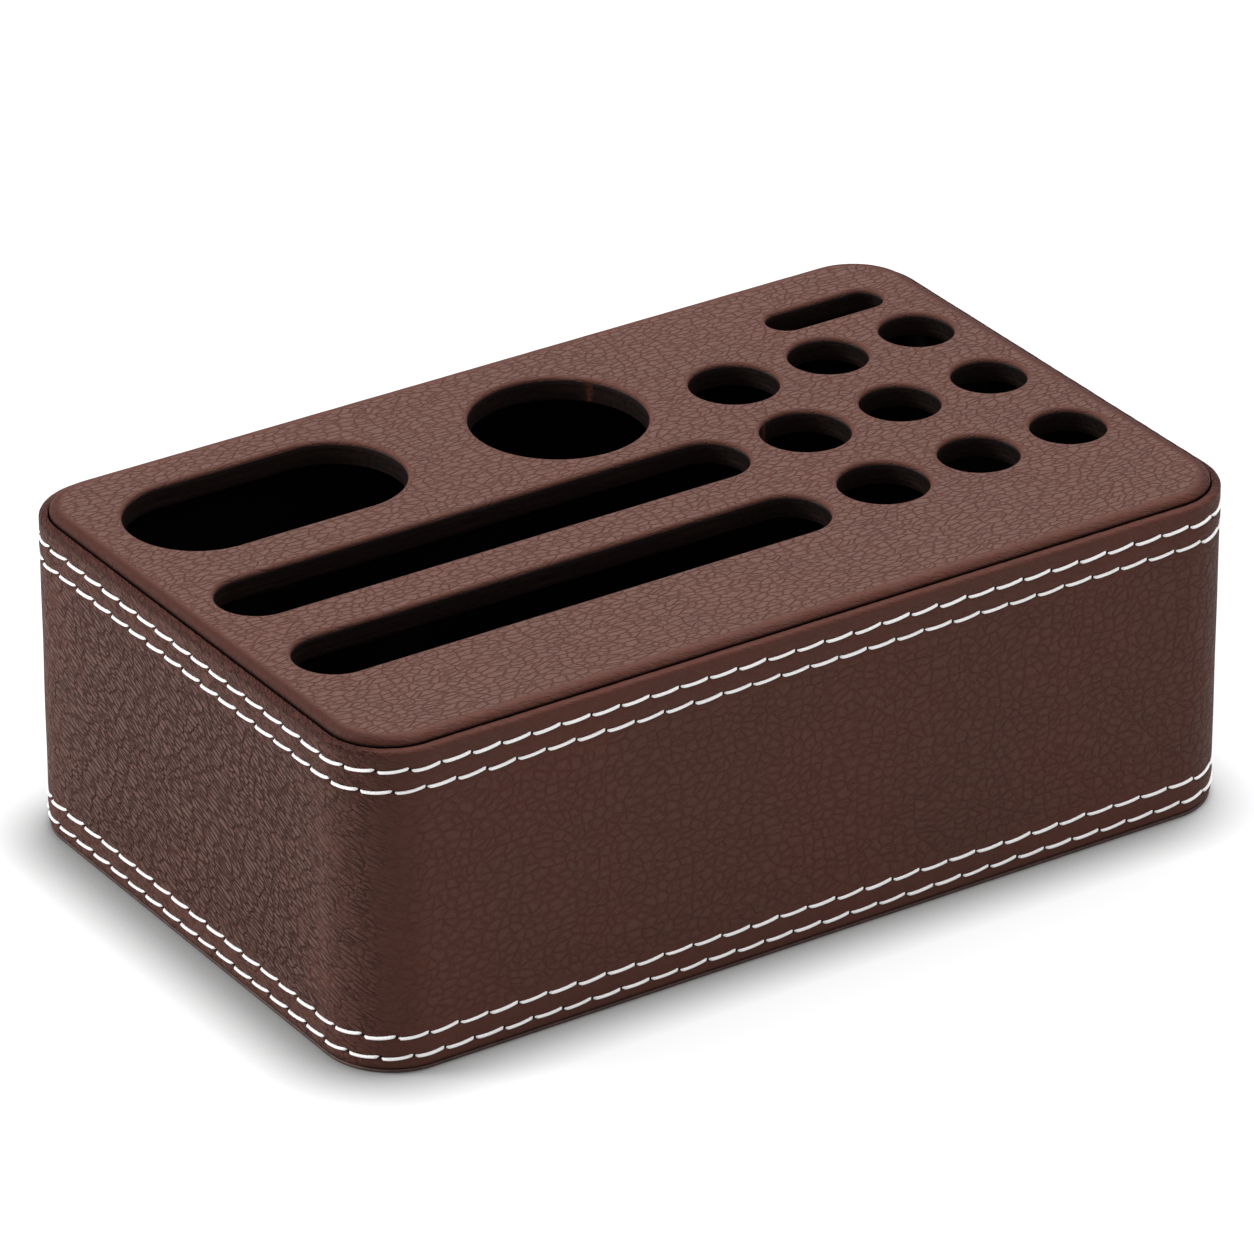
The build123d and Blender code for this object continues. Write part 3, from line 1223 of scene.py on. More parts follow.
        # Round the corners the hide is bent, and on the end faces it is pulled towards them
        bent = np.repeat(bend, rows)
        spread["smooth"] = np.maximum(spread["smooth"], 0.65 * bent)
        spread["bend"] = bent * (1 - spread["smooth"] * 0.3)
        end = np.repeat(ease(np.abs(normals[:, 0]), 0.3, 0.95), rows)
        half = self.outline.width / 2
        pull = np.repeat(ease(np.abs(points[:, 1]), half - 45.0, half - 12.0), rows)
        spread["smooth"] = spread["smooth"] * (1 - 0.35 * end)
        spread["smooth"] = np.maximum(spread["smooth"], 0.52 * end * pull)
        spread["tuck"] = spread["tuck"] * (1 + 4 * end)
        spread["end_edge_shade"] = end * spread["end_edge_shade"]
        spread["end_face"] = end
        return spread


@dataclass
class ThreadRows:
    """The four rows of saddle stitches, laid by geometry nodes round the box's outline."""

    outline: RoundedOutline
    stitches: StitchLayout
    length: float = 7.3
    radius: float = 0.385
    slant: float = 0.075  # rise for each millimetre along, the right end the higher
    sag: float = 0.3
    sink: float = 0.8  # how far the ends go into the needle holes
    uneven: float = 0.12
    knots: int = 11  # points along a stitch
    sides: int = 8
    guide_points: int = 2400

    def guide(self) -> bpy.types.Object:
        """Makes an open chain of edges once round the outline, which the nodes turn into a curve.

        Returns:
            The chain, at height 0.
        """
        stations = np.linspace(0, self.stitches.perimeter, self.guide_points)
        points, _, _ = self.outline.walk(stations)
        mesh = bpy.data.meshes.new("thread_guide")
        edges = [(i, i + 1) for i in range(len(points) - 1)]
        vertices = [(x * MM, y * MM, 0.0) for x, y in points]
        mesh.from_pydata(vertices, edges, [])
        return in_scene("thread_guide", mesh)

    def tree(self) -> bpy.types.NodeTree:
        """Builds the node group that lays one row of stitches round a guide.

        Returns:
            The group. Its sizes, counts, seed, guide and material are named inputs.
        """
        tree = bpy.data.node_groups.new("Row of stitches", "GeometryNodeTree")
        sizes = ("Pitch", "First", "Perimeter", "Length", "Radius", "Slant", "Sag", "Sink", "Uneven")
        sockets = [("Guide", "Geometry")]
        sockets += [(name, "Float") for name in sizes + ("Height",)]
        sockets += [(name, "Int") for name in ("Count", "Knots", "Sides", "Seed")]
        sockets += [("Thread", "Material")]
        for name, kind in sockets:
            tree.interface.new_socket(name, in_out="INPUT", socket_type=f"NodeSocket{kind}")
        tree.interface.new_socket("Stitches", in_out="OUTPUT", socket_type="NodeSocketGeometry")
        g = Graph(tree)
        size = g.add("NodeGroupInput").outputs
        row = self._laid_out(g, size)

        # What each point of a stitch needs to know
        place = g.add("GeometryNodeInputPosition")
        along = g.add(SEPARATE, {0: place}).outputs["X"]
        share = g.add("GeometryNodeSplineParameter").outputs["Factor"]
        luck = g.add("GeometryNodeInputNamedAttribute", {"Name": "chance"}, data_type="FLOAT_VECTOR")
        luck = g.add(SEPARATE, {0: luck}).outputs
        rest = g.add(MATH, {0: 1.0, 1: share}, operation="SUBTRACT")
        to_end = g.add(MATH, {0: share, 1: rest}, operation="MINIMUM")

        # Outwards: the ends go down into the needle holes
        ranges = {0: to_end, 1: 0.0, 2: 0.11, 3: 1.0, 4: 0.0}
        dive = g.add(MAP_RANGE, ranges, interpolation_type="SMOOTHSTEP")
        depth = g.add(MATH, {0: dive, 1: size["Sink"]}, operation="MULTIPLY")
        depth = g.add(MATH, {0: depth, 1: -1.0}, operation="MULTIPLY")
        height = self._strayed(g, size, share, luck)
        spot = self._wrapped(g, size, along, depth, height)
        travelled = g.add(MATH, {0: along, 1: 1 / MM}, operation="MULTIPLY")
        feeds = {"Geometry": row, "Name": "lay", "Value": travelled}
        kinds = {"domain": "POINT", "data_type": "FLOAT"}
        row = g.add("GeometryNodeStoreNamedAttribute", feeds, **kinds)
        row = g.add("GeometryNodeSetPosition", {"Geometry": row, "Position": spot})

        # Give it body: thinner at the ends
        ranges = {0: to_end, 1: 0.0, 2: 0.16, 3: 0.7, 4: 1.0}
        taper = g.add(MAP_RANGE, ranges, interpolation_type="SMOOTHSTEP")
        thick = g.add(MATH, {0: luck["Z"], 1: 0.07, 2: 1.0}, operation="MULTIPLY_ADD")
        scale = g.add(MATH, {0: taper, 1: thick}, operation="MULTIPLY")
        round_form = {"Resolution": size["Sides"], "Radius": size["Radius"]}
        ring = g.add("GeometryNodeCurvePrimitiveCircle", round_form)
        feeds = {"Curve": row, "Profile Curve": ring, "Scale": scale, "Fill Caps": True}
        threads = g.add("GeometryNodeCurveToMesh", feeds)
        threads = g.add("GeometryNodeSetShadeSmooth", {"Geometry": threads})
        threads = g.add("GeometryNodeRealizeInstances", {0: threads})
        threads = g.add("GeometryNodeSetMaterial", {"Geometry": threads, "Material": size["Thread"]})
        g.add("NodeGroupOutput", {"Stitches": threads})
        return tree

    def _laid_out(self, g: Graph, size: Sockets) -> bpy.types.Node:
        """Lays the stitches out in a straight line, x being the distance along the row.

        Args:
            g: The graph.
            size: The group's inputs, by name.

        Returns:
            The stitches' middle lines, each with three chances of its own.
        """
        half = g.add(MATH, {0: size["Length"], 1: 0.5}, operation="MULTIPLY")
        back = g.add(MATH, {0: half, 1: -1.0}, operation="MULTIPLY")
        start = g.add(COMBINE, {"X": back})
        end = g.add(COMBINE, {"X": half})
        strand = g.add("GeometryNodeCurvePrimitiveLine", {"Start": start, "End": end})
        strand = g.add("GeometryNodeResampleCurve", {"Curve": strand, "Count": size["Knots"]})
        origin = g.add(COMBINE, {"X": size["First"]})
        step = g.add(COMBINE, {"X": size["Pitch"]})
        feeds = {"Count": size["Count"], "Start Location": origin, "Offset": step}
        marks = g.add("GeometryNodeMeshLine", feeds)
        laid = g.add("GeometryNodeInstanceOnPoints", {"Points": marks, "Instance": strand})
        spread = {0: (-1.0, -1.0, -1.0), 1: (1.0, 1.0, 1.0), "Seed": size["Seed"]}
        chance = g.add("FunctionNodeRandomValue", spread, data_type="FLOAT_VECTOR")
        feeds = {"Geometry": laid, "Name": "chance", "Value": chance}
        kinds = {"domain": "INSTANCE", "data_type": "FLOAT_VECTOR"}
        laid = g.add("GeometryNodeStoreNamedAttribute", feeds, **kinds)
        return g.add("GeometryNodeRealizeInstances", {0: laid})

    def _strayed(self, g: Graph, size: Sockets, share: object, luck: object) -> bpy.types.Node:
        """Gives each point's height: a stitch is slanted, and hangs between its ends.

        Args:
            g: The graph.
            size: The group's inputs, by name.
            share: How far along its stitch the point is, 0 to 1.
            luck: The stitch's three chances.

        Returns:
            The height.
        """
        centred = g.add(MATH, {0: share, 1: 0.5}, operation="SUBTRACT")
        lean = g.add(MATH, {0: luck["X"], 1: 0.04, 2: size["Slant"]}, operation="MULTIPLY_ADD")
        rise = g.add(MATH, {0: centred, 1: size["Length"]}, operation="MULTIPLY")
        rise = g.add(MATH, {0: rise, 1: lean}, operation="MULTIPLY")
        squared = g.add(MATH, {0: centred, 1: centred}, operation="MULTIPLY")
        bow = g.add(MATH, {0: squared, 1: 4.0, 2: -0.6}, operation="MULTIPLY_ADD")
        bow = g.add(MATH, {0: bow, 1: size["Sag"], 2: rise}, operation="MULTIPLY_ADD")
        stray = g.add(MATH, {0: luck["Y"], 1: size["Uneven"], 2: bow}, operation="MULTIPLY_ADD")
        return g.add(MATH, {0: stray, 1: size["Height"]}, operation="ADD")

    def _wrapped(
        self, g: Graph, size: Sockets, along: object, depth: bpy.types.Node, height: object
    ) -> bpy.types.NodeSocket:
        """Wraps the straight row round the guide.

        Args:
            g: The graph.
            size: The group's inputs, by name.
            along: Each point's distance along the row.
            depth: How far it stands out from the guide.
            height: Its height.

        Returns:
            Its place.
        """
        path = g.add("GeometryNodeMeshToCurve", {"Mesh": size["Guide"]})
        wrapped = g.add(MATH, {0: along, 1: size["Perimeter"]}, operation="FLOORED_MODULO")
        feeds = {"Curves": path, "Length": wrapped}
        sampled = g.add("GeometryNodeSampleCurve", feeds, mode="LENGTH")
        up = (0.0, 0.0, 1.0)
        out = g.add(VECTOR_MATH, {0: sampled.outputs["Tangent"], 1: up}, operation="CROSS_PRODUCT")
        out = g.add(VECTOR_MATH, {0: out}, operation="NORMALIZE")
        out = g.add(VECTOR_MATH, {0: out.outputs[0], "Scale": depth.outputs[0]}, operation="SCALE")
        lift = g.add(COMBINE, {"Z": height})
        spot = g.add(VECTOR_MATH, {0: sampled.outputs["Position"], 1: out.outputs[0]}, operation="ADD")
        return g.add(VECTOR_MATH, {0: spot.outputs[0], 1: lift}, operation="ADD").outputs[0]

    def build(
        self, node: str, tree: bpy.types.NodeTree, thread: bpy.types.Material, row: int
    ) -> bpy.types.Object:
        """Lays one row and turns it into a plain mesh.

        Args:
            node: The CAD node of the row, whose middle height it takes.
            tree: The node group.
            thread: The thread's material.
            row: Which row, from the lowest; it fixes the shift and the stitches' small differences.

        Returns:
            The row's stitches, as one piece.
        """
        guide = self.guide()
        modifier = guide.modifiers.new("Row of stitches", "NODES")
        modifier.node_group = tree
        values = {
            "Pitch": self.stitches.pitch * MM,
            "First": (self.stitches.first + self.stitches.shifts[row] * self.stitches.pitch) * MM,
            "Perimeter": self.stitches.perimeter * MM,
            "Length": self.length * MM,
            "Radius": self.radius * MM,
            "Slant": self.slant,
            "Sag": self.sag * MM,
            "Sink": self.sink * MM,
            "Uneven": self.uneven * MM,
            "Height": Extent.of(node).centre[2] * MM,
            "Count": round(self.stitches.perimeter / self.stitches.pitch),
            "Knots": self.knots,
            "Sides": self.sides,
            "Seed": row,
            "Thread": thread,
        }
        for item in tree.interface.items_tree:
            if item.in_out == "INPUT" and item.name in values:
                modifier[item.identifier] = values[item.name]
        graph = bpy.context.evaluated_depsgraph_get()
        mesh = bpy.data.meshes.new_from_object(guide.evaluated_get(graph), depsgraph=graph)
        mesh.name = f"stitches_{node}"
        bpy.data.objects.remove(guide)
        return in_scene(mesh.name, mesh)


@dataclass
class WallLining:
    """Velvet glued round the inside of the walls, a little swollen at its cut top edge."""

    outline: RoundedOutline  # its outside, against the boards
    bottom: float
    top: float
    thickness: float
    edge: float = 0.3  # rounding of its cut edge
    columns: int = 420
    rows: int = 14

    def build(self) -> bpy.types.Object:
        """Builds the lining as one closed ring.

        Returns:
            The lining.
        """
        stations = spaced(self.outline.perimeter, self.columns)
        points, normals, _ = self.outline.walk(stations)
        inner, rim = -self.thickness, self.top - self.edge
        rows = [(inner, z) for z in np.linspace(rim, self.bottom, self.rows)]
        rows += [(0.0, self.bottom), (0.0, self.top)]
        rows += arc_rows((inner + self.edge, rim), self.edge, 90, 180, 4)[:-1]
        profile = np.array(rows)
        grid = sweep(points, normals, profile)
        along, height = np.meshgrid(stations, profile[: self.rows, 1], indexing="ij")
        pull = 0.12 * ripple(along, height, 26.0) * ease(height, self.bottom, self.bottom + 8)
        grid[:, : self.rows, :2] += normals[:, None, :] * np.minimum(pull, 0.1)[:, :, None]
        return make_ring(
            "wall_lining_velvet", grid, stations, self.outline.perimeter, closed_length(profile)
        )


# --- Plates ---


@dataclass
class Loop:
    """One border of a plate's flat faces: the outer one, or one round an opening.

    Attributes:
        shape: What it goes round.
        stations: Distances along the shape.
        points: Places on the shape's own edge.
        normals: Directions away from the shape's middle there.
        numbers: Numbers of its vertices on the plate's top.
    """

    shape: RoundedOutline | Opening
    stations: np.ndarray
    points: np.ndarray
    normals: np.ndarray
    numbers: np.ndarray

    @property
    def outer(self) -> bool:
        """Whether it is the plate's outer border."""
        return isinstance(self.shape, RoundedOutline)


@dataclass
class PiercedPlate:
    """A flat plate or shell, with or without openings, rolled or rounded at its edges.

    Attributes:
        name: The piece's name.
        flat: Where the flat faces end.
        top: Height of the upper flat face.
        bottom: Height of the lower one.
        edge: Outer profile, from the underside up to the top face.
        spacing: Distance between the flat faces' points.
        openings: The openings through it.
        mouth: How far the flat faces stay back from each opening.
        lip: Each opening's profile, from the top face down to the underside.
        sway: Unevenness of the top face.
        loop_step: Distance between the borders' points.
        margins: Extra rings of points, this far from each border.
    """

    name: str
    flat: RoundedOutline
    top: float
    bottom: float
    edge: np.ndarray
    spacing: float
    openings: tuple[Opening, ...] = ()
    mouth: float = 0.0
    lip: np.ndarray | None = None
    sway: float = 0.0
    loop_step: float = 1.6
    margins: tuple = (0.8,)

    def build(self) -> bpy.types.Object:
        """Builds the plate as one closed mesh.

        Returns:
            The plate, with the attributes that its leather reads.
        """
        flat, loops = self._flat_points()
        triangles = self._triangles(flat, loops)
        count = len(flat)
        depth, clear = self.flat.depth(flat), self._clearance(flat)
        swell = self.sway * (ripple(flat[:, 0], flat[:, 1], 47.0) - 1.0)
        swell *= ease(np.minimum(depth, clear), 0.3, 9.0)
        upper = np.column_stack([flat, self.top + swell])
        under = np.column_stack([flat, np.full(count, self.bottom)])
        vertices = [upper, under]
        faces = triangles.tolist() + (triangles[:, ::-1] + count).tolist()
        flat_uv = flat * MM
        uv = [flat_uv[triangles.ravel()], flat_uv[triangles[:, ::-1].ravel()]]
        edge_gap, opening_gap = [depth, depth], [clear, clear]
        following = 2 * count
        for loop in loops:
            profile = self.edge if loop.outer else self.lip
            grid = sweep(loop.points, loop.normals, profile)
            if loop.outer and self.sway:
                share = ease(profile[:, 1], self.top - 2.2, self.top - 0.4)
                pleats = self._pleats(loop.stations)[:, None] * share
                grid[:, :, :2] += loop.normals[:, None, :] * pleats[:, :, None]
            band_faces, band_uv = self._band(loop, profile, count, following)
            faces += band_faces
            uv.append(band_uv)
            swept = grid.reshape(-1, 3)
            vertices.append(swept)
            offset = np.tile(profile[:, 0], len(loop.points))
            edge_gap.append(-offset if loop.outer else self.flat.depth(swept[:, :2]))
            opening_gap.append(np.full(len(offset), ALL_LOOSE) if loop.outer else offset)
            following += len(swept)
        stacked = np.vstack(vertices)
        masks = self._masks(np.concatenate(edge_gap), np.concatenate(opening_gap), stacked)
        return make_piece(self.name, stacked, faces, np.vstack(uv), masks)

    def _band(
        self, loop: Loop, profile: np.ndarray, count: int, following: int
    ) -> tuple[list, np.ndarray]:
        """Joins a swept profile to the flat faces above and below it.

        Args:
            loop: The border that it goes round.
            profile: The profile.
            count: Number of vertices on one flat face.
            following: Number of the profile's first vertex.

        Returns:
            Its faces, and the UV of their corners.
        """
        ids = np.arange(len(loop.points) * len(profile)).reshape(-1, len(profile)) + following
        first, last = loop.numbers + count, loop.numbers
        ends = [(0.0, self.bottom), (0.0, self.top)]
        if not loop.outer:
            first, last = last, first
            ends = [(self.mouth, self.top), (self.mouth, self.bottom)]
        whole = np.concatenate([first[:, None], ids, last[:, None]], axis=1)
        across = profile_length(np.vstack([ends[:1], profile, ends[1:]]))
        return strip_faces(whole).tolist(), strip_uv(loop.stations, loop.shape.perimeter, across)

    def _pleats(self, stations: np.ndarray) -> np.ndarray:
        """Gives the slight pleats of the leather where it is pulled over the outer edge."""
        pleats = np.maximum(waver(stations, 4.1) - 0.45, 0)
        return 0.05 * waver(stations, 13.0) - 0.1 * pleats - 0.04

    def _masks(self, edges: np.ndarray, gaps: np.ndarray, points: np.ndarray) -> dict[str, np.ndarray]:
        """Gives the plate's attributes.

        Args:
            edges: How far each point is inside the flat faces' outer border.
            gaps: How far it is from the nearest opening.
            points: The points.

        Returns:
            By name, each point's share: smooth where the hide is stretched, worn where it is
            rubbed, tuck where it creases, and deep and end_edge_shade where shade is painted.
        """
        height = points[:, 2]
        upper = ease(height, self.top - 3.0, self.top - 1.0)
        lip = ease(gaps, 0.95, 0.55) * ease(gaps, -0.3, 0.35)
        smooth = np.maximum(ease(edges, 1.9, 0.0), 0.7 * ease(gaps, 1.3, 0.2))
        worn = np.maximum(ease(edges, 1.5, -0.7), 0.5 * lip) * upper
        tuck = ease(edges, 0.6, -0.7) * upper
        # Painted shade in the groove: the cover's skirt under its rounded edge goes near-black
        deep = ease(height, self.top - 1.05, self.top - 1.9) * (edges < 0.1)
        half = self.flat.length / 2
        end = ease(np.abs(points[:, 0]), half - 12.0, half - 2.0)
        # Painted shade: the cover's rolled edge darkens towards the two ends
        end_edge_shade = 0.85 * end * ease(edges, 1.3, -0.4) * upper
        return {"smooth": smooth, "worn": worn, "tuck": tuck, "deep": deep, "end_edge_shade": end_edge_shade}

    def _clearance(self, xy: np.ndarray) -> np.ndarray:
        """Gives the distance from each point to the nearest opening."""
        gaps = [opening.gap(xy) for opening in self.openings] or [np.full(len(xy), ALL_LOOSE)]
        return np.min(gaps, axis=0)

    def _room(self, xy: np.ndarray) -> np.ndarray:
        """Gives how far inside the flat faces each point is."""
        return np.minimum(self.flat.depth(xy), self._clearance(xy) - self.mouth)

    def _flat_points(self) -> tuple[np.ndarray, list[Loop]]:
        """Places the points of the flat faces: borders, rings beside them, then an even lattice.

        Returns:
            All points, and the borders.
        """
        stations = spaced(self.flat.perimeter, round(self.flat.perimeter / self.loop_step))
        swept, normals, _ = self.flat.walk(stations)
        loops = [Loop(self.flat, stations, swept, normals, np.arange(len(stations)))]
        kept = [swept]
        following = len(stations)
        for opening in self.openings:
            count = max(40, round(opening.perimeter / self.loop_step * 1.3))
            stations = spaced(opening.perimeter, count)
            swept, normals = opening.walk(stations)
            loops.append(Loop(opening, stations, swept, normals, np.arange(count) + following))
            kept.append(swept + normals * self.mouth)
            following += count
        for margin in self.margins:
            inset = self.flat.inset(margin)
            ring, _, _ = inset.walk(spaced(inset.perimeter, round(self.flat.perimeter / 2)))
            rings = [ring]
            for opening in self.openings:
                swept, normals = opening.walk(spaced(opening.perimeter, round(opening.perimeter / 1.6)))
                rings.append(swept + normals * (self.mouth + margin))
            kept += [ring[self._room(ring) > margin - 0.05] for ring in rings]
        half = np.array([self.flat.length, self.flat.width]) / 2
        for index, y in enumerate(np.arange(-half[1], half[1], self.spacing * 0.87)):
            shift = self.spacing / 2 * (index % 2)
            x = np.arange(-half[0] + shift, half[0], self.spacing)
            line = np.column_stack([x, np.full(len(x), y)])
            kept.append(line[self._room(line) > self.margins[-1] + 0.45 * self.spacing])
        return np.vstack(kept), loops

    def _triangles(self, points: np.ndarray, loops: list[Loop]) -> np.ndarray:
        """Joins the flat faces' points into triangles that face up, leaving the openings free.

        Args:
            points: The points.
            loops: The borders, whose edges are kept.

        Returns:
            Vertex numbers, (n, 3).
        """
        borders = []
        for loop in loops:
            borders += [(int(a), int(b)) for a, b in zip(loop.numbers, np.roll(loop.numbers, -1))]
        corners = [Vector(p) for p in points.tolist()]
        _, _, faces, sources, _, _ = delaunay_2d_cdt(corners, borders, [], 0, 1e-6)
        source = np.array([group[0] if group else -1 for group in sources])
        triangles = source[np.array([list(face) for face in faces if len(face) == 3])]
        if (source < 0).any():
            LOG.warning("%s: the triangulation added points", self.name)
        place = points[triangles]
        one, two = place[:, 1] - place[:, 0], place[:, 2] - place[:, 0]
        area = one[:, 0] * two[:, 1] - one[:, 1] * two[:, 0]
        triangles[area < 0] = triangles[area < 0][:, ::-1]
        middle = place.mean(1)
        inside = (self._clearance(middle) > self.mouth - 0.02) & (np.abs(area) > 1e-7)
        return triangles[inside]


@dataclass
class OpeningLiner:
    """A leather strip bent round inside one opening, its ends meeting in a butt seam."""

    opening: Opening
    bottom: float
    top: float
    thickness: float
    seam_angle: float | None  # degrees round from +X to the seam, or None to hide it at the front
    round_over: float = 0.25
    seam_width: float = 0.9
    seam_depth: float = 0.16

    def build(self) -> bpy.types.Object:
        """Builds the strip as one closed ring.

        Returns:
            The strip, with its seam as an attribute.
        """
        count = max(64, round(self.opening.perimeter / 1.1))
        stations = spaced(self.opening.perimeter, count)
        points, normals = self.opening.walk(stations)
        seam = self._seam(points)
        edge, skin = self.round_over, self.thickness
        rows = [(edge, self.top)] + arc_rows((edge, self.top - edge), edge, 100, 180, 3)
        rows += [(0.0, z) for z in np.linspace(self.top - edge, self.bottom + edge, 7)[1:]]
        rows += arc_rows((edge, self.bottom + edge), edge, 180, 270, 3)[1:]
        rows += [(skin, self.bottom), (skin, self.top)]
        profile = np.array(rows)
        grid = sweep(points, normals, profile)
        hollow = self.seam_depth * seam[:, None] * (profile[:, 0] < skin - 0.1)
        wave = 0.05 * waver(stations, 19.0)[:, None] * (profile[:, 0] < 0.05)
        grid[:, :, :2] += normals[:, None, :] * (hollow + np.maximum(wave, -0.04))[:, :, None]
        masks = {"seam": np.repeat(seam, len(profile))}
        name = f"strip_{self.opening.name}"
        return make_ring(name, grid, stations, self.opening.perimeter, closed_length(profile), masks)

    def _seam(self, points: np.ndarray) -> np.ndarray:
        """Gives each column's share of the seam, from its direction round the opening.

        Args:
            points: The columns' places on the opening's edge.

        Returns:
            The shares, 1 at the seam and 0 away from it.
        """
        angle = math.radians(-90.0 if self.seam_angle is None else self.seam_angle)
        away = points - np.array([self.opening.x, self.opening.y])
        turned = np.angle(np.exp(1j * (np.arctan2(away[:, 1], away[:, 0]) - angle)))
        distance = np.abs(turned) * self.opening.width / 2
        return ease(distance, self.seam_width, 0.25 * self.seam_width)


# --- The whole object ---


@dataclass
class LidPlate:
    """The lift-out lid: leather over its top and edges, lined openings and a velvet backing."""

    box_outline: RoundedOutline
    liner_skin: float = 0.8
    cover_skin: float = 1.0
    edge_radius: float = 1.8
    skirt_tuck: float = 0.3  # how much closer the cover is drawn in below its rounded edge
    roll: float = 0.8  # rounding of the cover into each opening
    backing_edge: float = 0.25
    seams: tuple = (("round", 38.0), ("pen_middle_left", 118.0))  # degrees round from +X

    def __post_init__(self) -> None:
        """Reads the cover, the backing and the openings from the frame."""
        self.cover = Extent.of("lid_cover")
        self.backing = Extent.of("lid_backing")
        self.outline = self.box_outline.inset(self.box_outline.length / 2 - self.cover.high[0])
        self.liners = sorted(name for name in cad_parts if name.startswith("liner_"))
        self.openings = tuple(self._opening(name) for name in self.liners)

    def _opening(self, node: str) -> Opening:
        """Reads one opening from the liner that is inside it.

        Args:
            node: The liner.

        Returns:
            The opening that is left free in it.
        """
        extent = Extent.of(node)
        x, y, _ = extent.centre
        length, width, _ = extent.size - 2 * self.liner_skin
        return Opening(node.removeprefix("liner_"), x, y, length, width)

    def build_cover(self) -> bpy.types.Object:
        """Builds the leather over the lid's top and edges.

        Returns:
            The cover.
        """
        low, top, radius = self.cover.low[2], self.cover.high[2], self.edge_radius
        underside, inner_radius = top - self.cover_skin, radius - self.cover_skin
        skirt = radius - self.skirt_tuck
        edge = arc_rows((0.0, top - radius), inner_radius, 90, 0, 3)[1:]
        edge += [(inner_radius, low), (skirt, low)]
        edge += [(skirt, z) for z in np.linspace(low, top - radius - 0.5, 4)[1:]]
        edge += arc_rows((0.0, top - radius), radius, 0, 90, 9)[:-1]
        lip = arc_rows((self.roll, top - self.roll), self.roll, 90, 180, 6)[1:]
        lip += [(0.0, underside)]
        plate = PiercedPlate(
            name="lid_cover_leather",
            flat=self.outline.inset(radius),
            top=top,
            bottom=underside,
            edge=np.array(edge),
            spacing=2.6,
            openings=self.openings,
            mouth=self.roll,
            lip=np.array(lip),
            sway=0.05,
            margins=(0.7, 1.6, 3.0),
        )
        return plate.build()

    def build_backing(self) -> bpy.types.Object:
        """Builds the velvet under the lid's board.

        Returns:
            The backing, which stops at the outsides of the strips in the openings.
        """
        low, top, radius = self.backing.low[2], self.backing.high[2], self.backing_edge
        edge = arc_rows((0.0, low + radius), radius, -90, 0, 3)[1:] + [(radius, top)]
        lip = [(0.0, top)] + arc_rows((radius, low + radius), radius, 180, 270, 3)[:-1]
        plate = PiercedPlate(
            name="lid_backing_velvet",
            flat=self.outline.inset(self.cover_skin + radius),
            top=top,
            bottom=low,
            edge=np.array(edge),
            spacing=7.0,
            openings=tuple(opening.widened(self.liner_skin) for opening in self.openings),
            mouth=radius,
            lip=np.array(lip),
        )
        return plate.build()

    def build_liners(self) -> list[bpy.types.Object]:
        """Builds the strip inside each opening.

        Returns:
            The strips, in the order of the liners.
        """
        seams = dict(self.seams)
        pieces = []
        for node, opening in zip(self.liners, self.openings):
            extent = Extent.of(node)
            seam = seams.get(opening.name)
            strip = OpeningLiner(opening, extent.low[2], extent.high[2], self.liner_skin, seam)
            pieces.append(strip.build())
        return pieces


